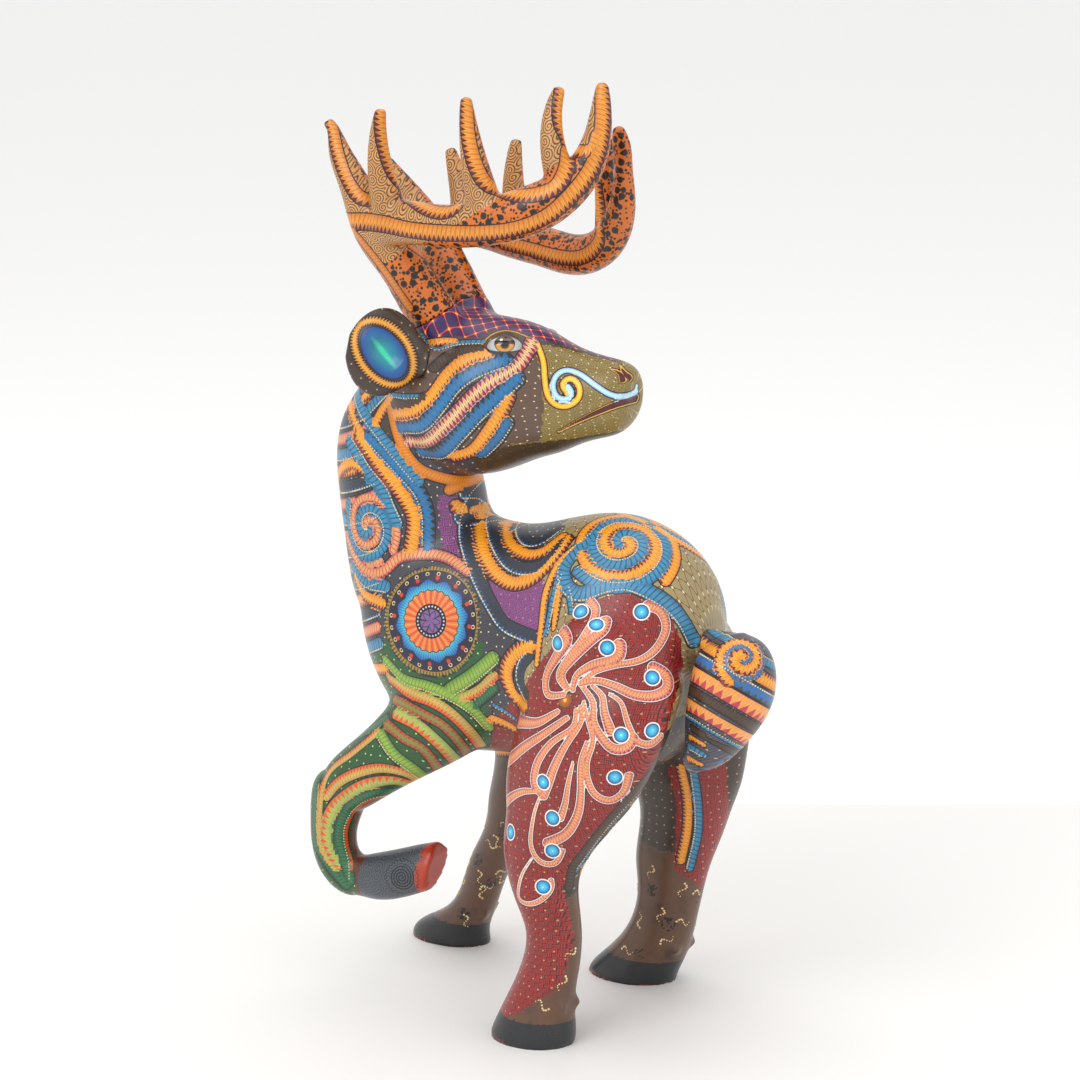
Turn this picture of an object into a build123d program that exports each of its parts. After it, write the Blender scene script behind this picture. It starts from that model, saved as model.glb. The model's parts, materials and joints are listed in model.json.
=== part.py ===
"""A painted stag carved in copal wood, glued up from blocks, with antlers, ears and tail on pegs.

The stag faces +X, its own left side is +Y and +Z is up. It stands on three hooves with the left
foreleg raised, and its head is turned back over its left side, so the head's right side faces +Y.
Millimetres throughout. Every piece is moved at the end so that the origin lies at the middle of
the figure's footprint box, on the surface that it stands on.
"""

from build123d import *
import os

os.makedirs("parts", exist_ok=True)

# ---------------------------------------------------------------- driving dimensions
BODY_LENGTH = 248.0  # rump to chest
BODY_HEIGHT = 168.0  # belly to back
BODY_WIDTH = 120.0
BODY_MIDDLE_X = 0.0
BODY_MIDDLE_Z = 246.0

HIND_JOINT_Z = 150.0  # where the hind legs are glued on below the haunches
FORE_JOINT_Z = 158.0  # where the standing foreleg is glued on
HIND_STANCE = 68.0  # middle of the body to the middle of a hind hoof
FORE_STANCE = 68.0
LEG_STOUTNESS = 1.0

NECK_BASE = (88.0, 0.0, 285.0)
NECK_LEAN = (0.42, 0.0, 0.91)
HEAD_BASE = (80.0, 0.0, 369.0)
HEAD_LEAN = (-0.59, 0.0, 0.81)
NECK_GIRTH = 1.0

HEAD_LENGTH = 167.0  # nape to nose
HEAD_HEIGHT = 105.0
HEAD_WIDTH = 92.0
NAPE_X = 104.0
HEAD_MIDDLE_Z = 404.0

EYE_RADIUS = 9.5
RIGHT_EYE = (13.5, 24.0, 436.5)
LEFT_EYE = (13.0, -23.5, 433.0)

ANTLER_BASE_RADIUS = 16.0
ANTLER_SQUASH = 0.9  # width of a beam or a tine as a share of its height
ANTLER_PEG_RADIUS = 6.0
ANTLER_PEG_LENGTH = 16.0
RIGHT_ANTLER_SEAT = (64.5, 26.0, 453.0)
LEFT_ANTLER_SEAT = (67.0, -16.0, 451.0)
RIGHT_ANTLER_LEAN = (0.49, 0.21, 0.85)
LEFT_ANTLER_LEAN = (0.57, -0.30, 0.76)

EAR_LENGTH = 51.0
EAR_HEIGHT = 56.0
EAR_THICKNESS = 18.0
EAR_CUP_DEPTH = 5.0
EAR_PEG_RADIUS = 4.0
EAR_PEG_LENGTH = 12.0
EAR_ROOT_RADIUS = 9.0
RIGHT_EAR_SEAT = (57.0, 47.0, 429.0)
LEFT_EAR_SEAT = (60.0, -40.5, 417.0)
RIGHT_EAR_LEAN = (0.80, 0.56, 0.20)
LEFT_EAR_LEAN = (0.78, -0.62, -0.06)
RIGHT_EAR_FACE = (-0.59, 0.79, 0.15)
LEFT_EAR_FACE = (-0.60, -0.78, 0.15)

TAIL_SEAT = (-125.5, 10.0, 260.0)
TAIL_PEG_RADIUS = 5.0
TAIL_PEG_LENGTH = 16.0
TAIL_ROOT_RADIUS = 10.0
TAIL_FATNESS = 26.5

DOWEL_RADIUS = 6.0
DOWEL_REACH = 22.0  # into each of the two blocks
NECK_DOWEL_SPACING = 36.0
LEG_DOWEL_RADIUS = 5.0
LEG_DOWEL_REACH = 16.0

PEG_CLEARANCE = 0.05  # all round a peg or a dowel in its hole
PEG_END_GAP = 0.5
SEAT_EMBED = 14.0  # how far a seat's collar reaches back into the block
SEAT_MARGIN = 2.5  # planed flat round the foot of a peg's piece
SPOT_FACE_HEIGHT = 20.0


# ---------------------------------------------------------------- shared shapes
def lofted(stations):
    """One solid through ellipses, each given as (plane, half width, half height)."""
    with BuildPart() as form:
        for plane, half_width, half_height in stations:
            with BuildSketch(plane):
                Ellipse(half_width, half_height)
        loft()
    return form.part


def split_at(form, joint, keep):
    """The part of a form on one side of a glue joint."""
    with BuildPart() as piece:
        add(form)
        split(bisect_by=joint, keep=keep)
    return piece.part


def along_path(points, squash=1.0):
    """Stations across a bent path, from (x, y, z, radius); squash narrows them sideways."""
    middles = [Vector(*point[:3]) for point in points]
    sideways = Vector(0, 1, 0)
    stations = []
    for index, middle in enumerate(middles):
        before = middles[max(index - 1, 0)]
        after = middles[min(index + 1, len(middles) - 1)]
        heading = (after - before).normalized()
        sideways = sideways - heading * heading.dot(sideways)
        radius = points[index][3]
        plane = Plane(origin=middle, x_dir=sideways.normalized(), z_dir=heading)
        stations.append((plane, radius * squash, radius))
    return stations


def round_bar(seat, lean, radius, start, end):
    """A round bar on the line through a seat, from start to end along its lean."""
    with BuildPart() as bar:
        with BuildSketch(Plane(origin=seat, z_dir=lean).offset(start)):
            Circle(radius)
        extrude(amount=end - start)
    return bar.part


def collar(seat, lean, radius, flare):
    """The raised ring on a block that an antler, an ear or the tail stands on."""
    with BuildPart() as ring:
        with BuildSketch(Plane(origin=seat, z_dir=lean)):
            Circle(radius)
        with BuildSketch(Plane(origin=seat, z_dir=lean).offset(-SEAT_EMBED)):
            Circle(radius * flare)
        loft()
    return ring.part


def spot_face(seat, lean, radius):
    """What is planed off a block round a seat, so that the piece on it stands clear."""
    return round_bar(seat, lean, radius + SEAT_MARGIN, 0.0, SPOT_FACE_HEIGHT)


def peg_hole(seat, lean, radius, length):
    return round_bar(seat, lean, radius + PEG_CLEARANCE, -length - PEG_END_GAP, 1.0)


# ---------------------------------------------------------------- body
# share of the length from the rump, lift of the middle, shares of the height and of the width
BARREL = (
    (0.000, 17.0, 0.22, 0.28),
    (0.040, 11.0, 0.53, 0.64),
    (0.115, 4.0, 0.85, 0.88),
    (0.245, 2.5, 1.00, 1.00),
    (0.400, 0.0, 0.97, 0.98),
    (0.560, -4.0, 0.90, 0.94),
    (0.720, -4.0, 0.93, 0.97),
    (0.860, 1.0, 0.83, 0.90),
    (0.950, 11.0, 0.60, 0.68),
    (1.000, 16.0, 0.30, 0.36),
)


def barrel_form():
    rump = BODY_MIDDLE_X - BODY_LENGTH / 2
    stations = []
    for along, lift, height_share, width_share in BARREL:
        middle = (rump + along * BODY_LENGTH, 0, BODY_MIDDLE_Z + lift)
        plane = Plane(origin=middle, x_dir=(0, 1, 0), z_dir=(1, 0, 0))
        half_width = width_share * BODY_WIDTH / 2
        half_height = height_share * BODY_HEIGHT / 2
        stations.append((plane, half_width, half_height))
    return lofted(stations)


# height, middle x, middle y, half length, half width
NECK = (
    (250.0, 78.0, 0.0, 50.0, 46.0),
    (300.0, 92.5, 0.0, 50.5, 45.0),
    (340.0, 99.5, 0.0, 50.0, 41.0),
    (375.0, 100.0, 2.0, 45.0, 38.0),
    (405.0, 91.0, 4.0, 34.0, 34.0),
    (430.0, 82.0, 6.0, 20.0, 24.0),
)


def neck_form():
    stations = []
    for height, middle_x, middle_y, half_length, half_width in NECK:
        plane = Plane(origin=(middle_x, middle_y, height), z_dir=(0, 0, 1))
        stations.append((plane, half_length * NECK_GIRTH, half_width * NECK_GIRTH))
    return lofted(stations)


# share of the height above the sole up to the joint, middle x, share of the stance,
# half length, half width
LEFT_HIND = (
    (0.00, -33.0, 1.00, 28.0, 23.0),
    (0.07, -35.0, 1.00, 27.0, 22.0),
    (0.17, -38.0, 0.99, 23.0, 19.5),
    (0.35, -45.0, 0.96, 19.0, 16.5),
    (0.49, -46.0, 0.94, 18.5, 16.0),
    (0.61, -40.5, 0.92, 21.0, 18.0),
    (0.72, -37.0, 0.90, 24.0, 20.0),
    (0.84, -39.5, 0.88, 30.0, 23.0),
    (1.00, -49.0, 0.84, 39.0, 26.0),
)
RIGHT_HIND = (
    (0.00, -30.0, 1.00, 31.0, 23.0),
    (0.08, -37.0, 1.00, 29.0, 21.5),
    (0.19, -48.0, 1.00, 24.5, 19.5),
    (0.32, -56.0, 0.98, 22.0, 18.0),
    (0.43, -59.5, 0.97, 22.5, 18.5),
    (0.57, -62.0, 0.96, 26.0, 20.0),
    (0.72, -68.0, 0.95, 29.0, 22.0),
    (0.84, -72.0, 0.92, 32.0, 24.0),
    (1.00, -74.0, 0.86, 40.0, 26.5),
)
RIGHT_FORE = (
    (0.00, 112.0, 1.00, 29.0, 20.0),
    (0.08, 107.0, 0.99, 24.0, 18.5),
    (0.19, 91.0, 0.95, 15.5, 15.0),
    (0.31, 82.0, 0.92, 14.5, 14.0),
    (0.46, 70.0, 0.88, 16.0, 15.0),
    (0.71, 50.0, 0.79, 21.0, 18.0),
    (0.86, 40.0, 0.74, 24.5, 20.0),
    (1.00, 33.0, 0.69, 29.0, 22.0),
)
# height above the joint, middle x, middle y, half length, half width
LEFT_HAUNCH = (
    (9.0, -52.0, 56.0, 43.0, 27.0),
    (40.0, -62.0, 54.0, 50.0, 30.0),
    (76.0, -70.0, 47.0, 53.0, 31.0),
    (104.0, -66.0, 39.0, 48.0, 30.0),
    (132.0, -62.0, 28.0, 34.0, 24.0),
)
RIGHT_HAUNCH = (
    (9.0, -74.0, -58.0, 42.0, 27.0),
    (40.0, -74.0, -54.0, 48.0, 30.0),
    (76.0, -72.0, -47.0, 51.0, 31.0),
    (104.0, -68.0, -39.0, 46.0, 30.0),
    (132.0, -64.0, -28.0, 34.0, 24.0),
)
RIGHT_SHOULDER = (
    (14.0, 31.0, -44.0, 32.0, 24.0),
    (48.0, 36.0, -38.0, 40.0, 25.0),
    (84.0, 50.0, -28.0, 38.0, 24.0),
)


def standing_leg_form(table, joint_height, stance, blend_table):
    """A standing leg from its sole up through the joint and on into the body."""
    stations = []
    for share, middle_x, stance_share, half_length, half_width in table:
        middle = (middle_x, stance * stance_share, share * joint_height)
        plane = Plane(origin=middle, z_dir=(0, 0, 1))
        stations.append((plane, half_length * LEG_STOUTNESS, half_width * LEG_STOUTNESS))
    for lift, middle_x, middle_y, half_length, half_width in blend_table:
        middle = (middle_x, middle_y * abs(stance) / HIND_STANCE, joint_height + lift)
        plane = Plane(origin=middle, z_dir=(0, 0, 1))
        stations.append((plane, half_length * LEG_STOUTNESS, half_width * LEG_STOUTNESS))
    return lofted(stations)


# the raised foreleg: x, y, z and radius down its upper part, its shank and its curled hoof
RAISED_UPPER = (
    (34.0, 26.0, 214.0, 34.0),
    (58.0, 38.0, 190.0, 30.0),
    (82.0, 45.0, 169.0, 24.0),
    (105.0, 47.0, 151.0, 21.0),
    (122.0, 46.0, 137.0, 18.5),
    (131.0, 45.0, 127.0, 12.0),
)
RAISED_SHANK = (
    (124.0, 46.0, 144.0, 12.0),
    (128.0, 45.5, 132.0, 18.5),
    (132.0, 44.5, 116.0, 17.0),
    (134.0, 43.5, 100.0, 15.5),
    (131.5, 42.5, 86.0, 15.0),
    (124.0, 42.0, 77.0, 14.5),
    (113.0, 41.5, 74.0, 12.0),
)
RAISED_HOOF = (
    (124.0, 42.0, 74.0, 10.0),
    (110.0, 41.5, 76.0, 14.0),
    (92.0, 41.0, 80.0, 15.5),
    (76.0, 40.5, 85.0, 15.5),
    (61.0, 40.0, 90.0, 14.0),
)
RAISED_JOINT = (86.0, 45.0, 166.0)
RAISED_JOINT_LEAN = (-0.785, -0.07, 0.615)


def raised_leg_form():
    with BuildPart() as leg:
        add(lofted(along_path(RAISED_UPPER, 0.92)))
        add(lofted(along_path(RAISED_SHANK, 0.92)))
        add(lofted(along_path(RAISED_HOOF, 0.95)))
    return leg.part


# ---------------------------------------------------------------- head
# share of the length from the nape, sideways drift, lift of the middle, shares of the
# height and of the width
SKULL = (
    (0.000, 10.0, 17.0, 0.26, 0.30),
    (0.048, 9.0, 12.0, 0.57, 0.65),
    (0.144, 7.5, 4.0, 0.83, 0.89),
    (0.275, 5.5, -1.0, 0.98, 1.00),
    (0.400, 3.5, -2.5, 0.98, 1.00),
    (0.520, 1.0, -0.5, 0.90, 0.93),
    (0.623, -0.5, 1.0, 0.785, 0.79),
    (0.707, -2.0, 0.5, 0.68, 0.65),
    (0.800, -4.0, 1.5, 0.56, 0.52),
    (0.886, -5.5, 2.5, 0.49, 0.45),
    (0.958, -7.0, 4.0, 0.41, 0.38),
    (1.000, -8.0, 5.5, 0.22, 0.20),
)


def skull_form():
    stations = []
    for along, drift, lift, height_share, width_share in SKULL:
        middle = (NAPE_X - along * HEAD_LENGTH, drift, HEAD_MIDDLE_Z + lift)
        plane = Plane(origin=middle, x_dir=(0, 1, 0), z_dir=(1, 0, 0))
        half_width = width_share * HEAD_WIDTH / 2
        half_height = height_share * HEAD_HEIGHT / 2
        stations.append((plane, half_width, half_height))
    return lofted(stations)


# ---------------------------------------------------------------- antlers
# x, y, z and radius: each stem runs from its seat up into the rear tine, the beam springs from
# the stem and sweeps forward to its own tip, and the other tines stand on the beam
RIGHT_STEM = (
    (76.0, 31.0, 473.0, 14.5),
    (87.0, 36.0, 491.0, 13.5),
    (98.0, 41.0, 508.0, 13.0),
    (107.0, 43.0, 526.0, 10.5),
    (118.0, 42.5, 545.0, 7.5),
    (127.0, 40.0, 560.0, 4.8),
    (135.0, 38.0, 573.0, 2.2),
)
RIGHT_BEAM = (
    (99.0, 40.0, 503.0, 8.0),
    (91.0, 44.0, 510.0, 12.0),
    (71.0, 49.0, 516.0, 12.5),
    (38.0, 52.0, 517.0, 12.0),
    (4.0, 50.0, 523.0, 13.5),
    (-24.0, 45.0, 533.0, 14.0),
    (-42.0, 36.0, 547.0, 11.5),
    (-51.0, 26.0, 566.0, 8.5),
    (-51.0, 16.0, 588.0, 5.5),
    (-49.0, 10.5, 606.0, 2.2),
)
RIGHT_TINES = (
    (
        (80.0, 48.0, 513.0, 11.0),
        (85.0, 51.0, 536.0, 8.5),
        (87.0, 54.0, 560.0, 5.5),
        (84.0, 56.0, 586.0, 2.2),
    ),
    (
        (8.0, 51.0, 521.0, 12.0),
        (15.0, 52.0, 546.0, 8.5),
        (21.0, 52.0, 572.0, 5.5),
        (24.0, 52.0, 597.0, 2.2),
    ),
    (
        (-40.0, 38.0, 544.0, 10.0),
        (-33.0, 40.0, 562.0, 7.5),
        (-29.0, 38.0, 584.0, 5.2),
        (-32.0, 34.0, 605.0, 2.2),
    ),
)
LEFT_STEM = (
    (83.0, -24.0, 469.0, 14.0),
    (97.0, -31.0, 485.0, 13.0),
    (110.0, -38.0, 498.0, 11.5),
    (122.0, -41.0, 512.0, 8.5),
    (136.0, -39.0, 530.0, 5.2),
    (147.0, -36.0, 546.0, 2.2),
)
LEFT_BEAM = (
    (104.0, -36.0, 492.0, 8.0),
    (96.0, -41.0, 497.0, 11.5),
    (80.0, -48.0, 499.0, 12.0),
    (52.0, -50.0, 494.0, 12.0),
    (20.0, -42.0, 490.0, 12.5),
    (-12.0, -32.0, 491.0, 13.0),
    (-34.0, -24.0, 503.0, 12.0),
    (-47.0, -18.0, 526.0, 9.5),
    (-50.0, -15.0, 552.0, 6.0),
    (-47.0, -13.0, 576.0, 2.2),
)
LEFT_TINES = (
    (
        (86.0, -48.0, 497.0, 10.5),
        (90.0, -52.0, 514.0, 7.5),
        (96.0, -54.0, 530.0, 5.0),
        (101.0, -54.0, 546.0, 2.2),
    ),
    (
        (46.0, -48.0, 492.0, 11.0),
        (50.0, -50.0, 512.0, 7.5),
        (51.0, -50.0, 535.0, 5.0),
        (49.0, -50.0, 556.0, 2.2),
    ),
    (
        (-34.0, -25.0, 502.0, 10.0),
        (-30.0, -28.0, 524.0, 7.0),
        (-28.0, -30.0, 546.0, 5.0),
        (-30.0, -30.0, 566.0, 2.2),
    ),
)


def antler(seat, lean, stem_path, beam, tines):
    """An antler on its round peg: the stem stands flat on the seat and grows into the beam."""
    heading = Vector(*lean).normalized()
    sideways = Vector(0, 1, 0) - heading * heading.Y
    foot = Plane(origin=seat, x_dir=sideways, z_dir=heading)
    below = foot.offset(-2.0)
    base = ANTLER_BASE_RADIUS
    stem = [(below, base * ANTLER_SQUASH, base), (foot, base * ANTLER_SQUASH, base)]
    stem += along_path(((*seat, base),) + stem_path, ANTLER_SQUASH)[1:]
    with BuildPart() as whole:
        add(split_at(lofted(stem), foot, Keep.TOP))
        for branch in (beam, *tines):
            add(lofted(along_path(branch, ANTLER_SQUASH)))
        add(round_bar(seat, lean, ANTLER_PEG_RADIUS, -ANTLER_PEG_LENGTH, 1.0))
    return whole


# ---------------------------------------------------------------- ears
# share of the length, share of the height, share of the thickness
EAR_OUTLINE = (
    (0.13, 0.52, 0.80),
    (0.32, 0.84, 1.00),
    (0.54, 1.00, 1.00),
    (0.75, 0.91, 0.86),
    (0.91, 0.62, 0.62),
    (1.00, 0.26, 0.32),
)


def ear(seat, lean, face):
    """A cupped ear on its round peg, hollowed on the side that it faces."""
    outward = Vector(*lean).normalized()
    facing = Vector(*face)
    facing = (facing - outward * facing.dot(outward)).normalized()
    start = Plane(origin=seat, x_dir=facing, z_dir=outward)
    stations = [(start, EAR_ROOT_RADIUS, EAR_ROOT_RADIUS)]
    for along, height_share, thickness_share in EAR_OUTLINE:
        half_thickness = thickness_share * EAR_THICKNESS / 2
        half_height = height_share * EAR_HEIGHT / 2
        stations.append((start.offset(along * EAR_LENGTH), half_thickness, half_height))
    cup_radius = EAR_HEIGHT / 3
    cup_middle = Vector(*seat) + outward * (EAR_LENGTH * 0.54)
    cup_middle += facing * (EAR_THICKNESS / 2 - EAR_CUP_DEPTH + cup_radius)
    with BuildPart() as whole:
        add(lofted(stations))
        with Locations(cup_middle):
            Sphere(cup_radius, mode=Mode.SUBTRACT)
        split(bisect_by=start, keep=Keep.TOP)
        add(round_bar(seat, lean, EAR_PEG_RADIUS, -EAR_PEG_LENGTH, 1.0))
    return whole


# ---------------------------------------------------------------- tail
TAIL_LEAN = (-1.0, 0.0, 0.0)
# x behind the seat, y from the seat, z from the seat, share of the fatness
TAIL_OUTLINE = (
    (-24.5, 11.0, 13.0, 0.25),
    (-26.0, 12.0, 6.0, 0.68),
    (-27.0, 13.0, -6.0, 0.94),
    (-25.0, 13.5, -23.0, 1.00),
    (-17.0, 12.0, -42.0, 0.88),
    (-8.5, 11.0, -60.0, 0.64),
    (0.5, 10.0, -72.5, 0.38),
    (4.5, 9.0, -81.0, 0.14),
)


def tail_form():
    points = []
    for back, sideways, drop, share in TAIL_OUTLINE:
        x, y, z = TAIL_SEAT
        points.append((x + back, y + sideways, z + drop, share * TAIL_FATNESS))
    with BuildPart() as whole:
        add(lofted(along_path(points)))
        add(round_bar(TAIL_SEAT, TAIL_LEAN, TAIL_ROOT_RADIUS, 0.0, -TAIL_OUTLINE[2][0]))
        add(round_bar(TAIL_SEAT, TAIL_LEAN, TAIL_PEG_RADIUS, -TAIL_PEG_LENGTH, 1.0))
    return whole


# ---------------------------------------------------------------- glue joints and dowels
neck_joint = Plane(origin=NECK_BASE, x_dir=(0, 1, 0), z_dir=NECK_LEAN)
head_joint = Plane(origin=HEAD_BASE, x_dir=(0, 1, 0), z_dir=HEAD_LEAN)
hind_joint = Plane.XY.offset(HIND_JOINT_Z)
fore_joint = Plane.XY.offset(FORE_JOINT_Z)
raised_joint = Plane(origin=RAISED_JOINT, z_dir=RAISED_JOINT_LEAN)


def dowel_pair(joint, clearance, reach):
    """Two dowels side by side across a glue joint."""
    with BuildPart() as pair:
        with BuildSketch(joint.offset(-reach)):
            with GridLocations(NECK_DOWEL_SPACING, 0, 2, 1):
                Circle(DOWEL_RADIUS + clearance)
        extrude(amount=2 * reach)
    return pair


def leg_dowel_spots():
    """Where each leg's dowel crosses its glue joint, and the way it points."""
    up = (0, 0, 1)
    left_top, right_top, fore_top = LEFT_HIND[-1], RIGHT_HIND[-1], RIGHT_FORE[-1]
    return {
        "left_hindleg": ((left_top[1], HIND_STANCE * left_top[2], HIND_JOINT_Z), up),
        "right_hindleg": ((right_top[1], -HIND_STANCE * right_top[2], HIND_JOINT_Z), up),
        "right_foreleg": ((fore_top[1], -FORE_STANCE * fore_top[2], FORE_JOINT_Z), up),
        "left_foreleg": (RAISED_JOINT, RAISED_JOINT_LEAN),
    }


def leg_dowel(spot, clearance):
    middle, lean = spot
    return round_bar(middle, lean, LEG_DOWEL_RADIUS + clearance, -LEG_DOWEL_REACH, LEG_DOWEL_REACH)


# ---------------------------------------------------------------- pieces
barrel = barrel_form()
neck_block = neck_form()
skull = skull_form()
left_hind_form = standing_leg_form(LEFT_HIND, HIND_JOINT_Z, HIND_STANCE, LEFT_HAUNCH)
right_hind_form = standing_leg_form(RIGHT_HIND, HIND_JOINT_Z, -HIND_STANCE, RIGHT_HAUNCH)
right_fore_form = standing_leg_form(RIGHT_FORE, FORE_JOINT_Z, -FORE_STANCE, RIGHT_SHOULDER)
raised_form = raised_leg_form()
spots = leg_dowel_spots()


with BuildPart() as torso:
    add(split_at(barrel, neck_joint, Keep.BOTTOM))
    add(split_at(neck_block, neck_joint, Keep.BOTTOM))
    add(split_at(left_hind_form, hind_joint, Keep.TOP))
    add(split_at(right_hind_form, hind_joint, Keep.TOP))
    add(split_at(right_fore_form, fore_joint, Keep.TOP))
    add(split_at(raised_form, raised_joint, Keep.TOP))
    add(collar(TAIL_SEAT, TAIL_LEAN, TAIL_ROOT_RADIUS, 1.3))
    add(dowel_pair(neck_joint, PEG_CLEARANCE, DOWEL_REACH).part, mode=Mode.SUBTRACT)
    for spot in spots.values():
        add(leg_dowel(spot, PEG_CLEARANCE), mode=Mode.SUBTRACT)
    add(peg_hole(TAIL_SEAT, TAIL_LEAN, TAIL_PEG_RADIUS, TAIL_PEG_LENGTH), mode=Mode.SUBTRACT)

with BuildPart() as neck:
    add(neck_block)
    add(barrel)
    split(bisect_by=neck_joint, keep=Keep.TOP)
    split(bisect_by=head_joint, keep=Keep.BOTTOM)
    add(dowel_pair(neck_joint, PEG_CLEARANCE, DOWEL_REACH).part, mode=Mode.SUBTRACT)
    add(dowel_pair(head_joint, PEG_CLEARANCE, DOWEL_REACH).part, mode=Mode.SUBTRACT)

with BuildPart() as head:
    add(skull)
    add(neck_block)
    split(bisect_by=head_joint, keep=Keep.TOP)
    add(collar(RIGHT_ANTLER_SEAT, RIGHT_ANTLER_LEAN, ANTLER_BASE_RADIUS, 1.1))
    add(collar(LEFT_ANTLER_SEAT, LEFT_ANTLER_LEAN, ANTLER_BASE_RADIUS, 1.1))
    add(collar(RIGHT_EAR_SEAT, RIGHT_EAR_LEAN, EAR_ROOT_RADIUS, 1.3))
    add(collar(LEFT_EAR_SEAT, LEFT_EAR_LEAN, EAR_ROOT_RADIUS, 1.3))
    for seat, lean in ((RIGHT_ANTLER_SEAT, RIGHT_ANTLER_LEAN), (LEFT_ANTLER_SEAT, LEFT_ANTLER_LEAN)):
        add(spot_face(seat, lean, ANTLER_BASE_RADIUS), mode=Mode.SUBTRACT)
        add(peg_hole(seat, lean, ANTLER_PEG_RADIUS, ANTLER_PEG_LENGTH), mode=Mode.SUBTRACT)
    for seat, lean in ((RIGHT_EAR_SEAT, RIGHT_EAR_LEAN), (LEFT_EAR_SEAT, LEFT_EAR_LEAN)):
        add(spot_face(seat, lean, EAR_ROOT_RADIUS), mode=Mode.SUBTRACT)
        add(peg_hole(seat, lean, EAR_PEG_RADIUS, EAR_PEG_LENGTH), mode=Mode.SUBTRACT)
    add(dowel_pair(head_joint, PEG_CLEARANCE, DOWEL_REACH).part, mode=Mode.SUBTRACT)
    with Locations(RIGHT_EYE, LEFT_EYE):
        Sphere(EYE_RADIUS, mode=Mode.SUBTRACT)

with BuildPart() as left_hindleg:
    add(split_at(left_hind_form, hind_joint, Keep.BOTTOM))
    add(leg_dowel(spots["left_hindleg"], PEG_CLEARANCE), mode=Mode.SUBTRACT)

with BuildPart() as right_hindleg:
    add(split_at(right_hind_form, hind_joint, Keep.BOTTOM))
    add(leg_dowel(spots["right_hindleg"], PEG_CLEARANCE), mode=Mode.SUBTRACT)

with BuildPart() as right_foreleg:
    add(split_at(right_fore_form, fore_joint, Keep.BOTTOM))
    add(leg_dowel(spots["right_foreleg"], PEG_CLEARANCE), mode=Mode.SUBTRACT)

with BuildPart() as left_foreleg:
    add(split_at(raised_form, raised_joint, Keep.BOTTOM))
    add(leg_dowel(spots["left_foreleg"], PEG_CLEARANCE), mode=Mode.SUBTRACT)

with BuildPart() as right_eye:
    with Locations(RIGHT_EYE):
        Sphere(EYE_RADIUS)

with BuildPart() as left_eye:
    with Locations(LEFT_EYE):
        Sphere(EYE_RADIUS)

neck_dowels = dowel_pair(neck_joint, 0.0, DOWEL_REACH)
head_dowels = dowel_pair(head_joint, 0.0, DOWEL_REACH)

with BuildPart() as leg_dowels:
    for spot in spots.values():
        add(leg_dowel(spot, 0.0))

right_antler = antler(
    RIGHT_ANTLER_SEAT, RIGHT_ANTLER_LEAN, RIGHT_STEM, RIGHT_BEAM, RIGHT_TINES
)
left_antler = antler(LEFT_ANTLER_SEAT, LEFT_ANTLER_LEAN, LEFT_STEM, LEFT_BEAM, LEFT_TINES)
right_ear = ear(RIGHT_EAR_SEAT, RIGHT_EAR_LEAN, RIGHT_EAR_FACE)
left_ear = ear(LEFT_EAR_SEAT, LEFT_EAR_LEAN, LEFT_EAR_FACE)
tail = tail_form()

# ---------------------------------------------------------------- placing and export
pieces = {
    "torso": torso,
    "neck": neck,
    "head": head,
    "left_hindleg": left_hindleg,
    "right_hindleg": right_hindleg,
    "left_foreleg": left_foreleg,
    "right_foreleg": right_foreleg,
    "right_eye": right_eye,
    "left_eye": left_eye,
    "neck_dowels": neck_dowels,
    "head_dowels": head_dowels,
    "leg_dowels": leg_dowels,
    "right_antler": right_antler,
    "left_antler": left_antler,
    "right_ear": right_ear,
    "left_ear": left_ear,
    "tail": tail,
}
whole_box = Compound(children=[Compound(piece.part.solids()) for piece in pieces.values()]).bounding_box()
middle = whole_box.center()
shift = Location((-middle.X, -middle.Y, -whole_box.min.Z))
for label, piece in pieces.items():
    placed = piece.part.moved(shift)
    placed.label = label
    export_step(placed, f"parts/{label}.step")
print("origin shift", -middle.X, -middle.Y, -whole_box.min.Z, "size", whole_box.size)
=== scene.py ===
"""A painted stag in carved copal wood: the look of every piece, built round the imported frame.

The carver's part comes first: the blocks are joined, softened and cut apart again at their glue
joints. The painter's part follows: strokes are laid on the wood along drawn lines, and the
materials fill each stroke and each ground with its ornament. Lengths are in millimetres until a
mesh is written.
"""

import json
import math

import bmesh
import bpy
import numpy as np
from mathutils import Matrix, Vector
from mathutils.bvhtree import BVHTree

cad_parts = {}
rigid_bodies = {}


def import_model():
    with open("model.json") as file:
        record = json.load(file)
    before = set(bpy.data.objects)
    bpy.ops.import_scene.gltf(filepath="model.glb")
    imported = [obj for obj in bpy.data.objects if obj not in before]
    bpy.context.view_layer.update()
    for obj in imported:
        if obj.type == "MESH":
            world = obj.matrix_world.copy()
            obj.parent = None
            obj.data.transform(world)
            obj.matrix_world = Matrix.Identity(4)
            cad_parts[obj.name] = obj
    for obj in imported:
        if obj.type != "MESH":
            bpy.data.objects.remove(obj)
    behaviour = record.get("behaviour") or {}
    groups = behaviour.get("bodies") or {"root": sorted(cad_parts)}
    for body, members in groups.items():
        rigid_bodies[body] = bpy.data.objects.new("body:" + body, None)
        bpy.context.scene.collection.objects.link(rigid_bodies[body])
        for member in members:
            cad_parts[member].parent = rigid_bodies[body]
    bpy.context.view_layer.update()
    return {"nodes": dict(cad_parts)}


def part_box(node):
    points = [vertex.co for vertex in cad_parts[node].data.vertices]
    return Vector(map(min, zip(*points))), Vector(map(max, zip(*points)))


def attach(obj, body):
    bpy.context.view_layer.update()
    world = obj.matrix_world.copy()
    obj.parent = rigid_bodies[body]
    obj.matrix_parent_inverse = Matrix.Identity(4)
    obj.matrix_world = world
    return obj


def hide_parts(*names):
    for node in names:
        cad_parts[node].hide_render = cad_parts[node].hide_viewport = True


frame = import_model()

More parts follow.
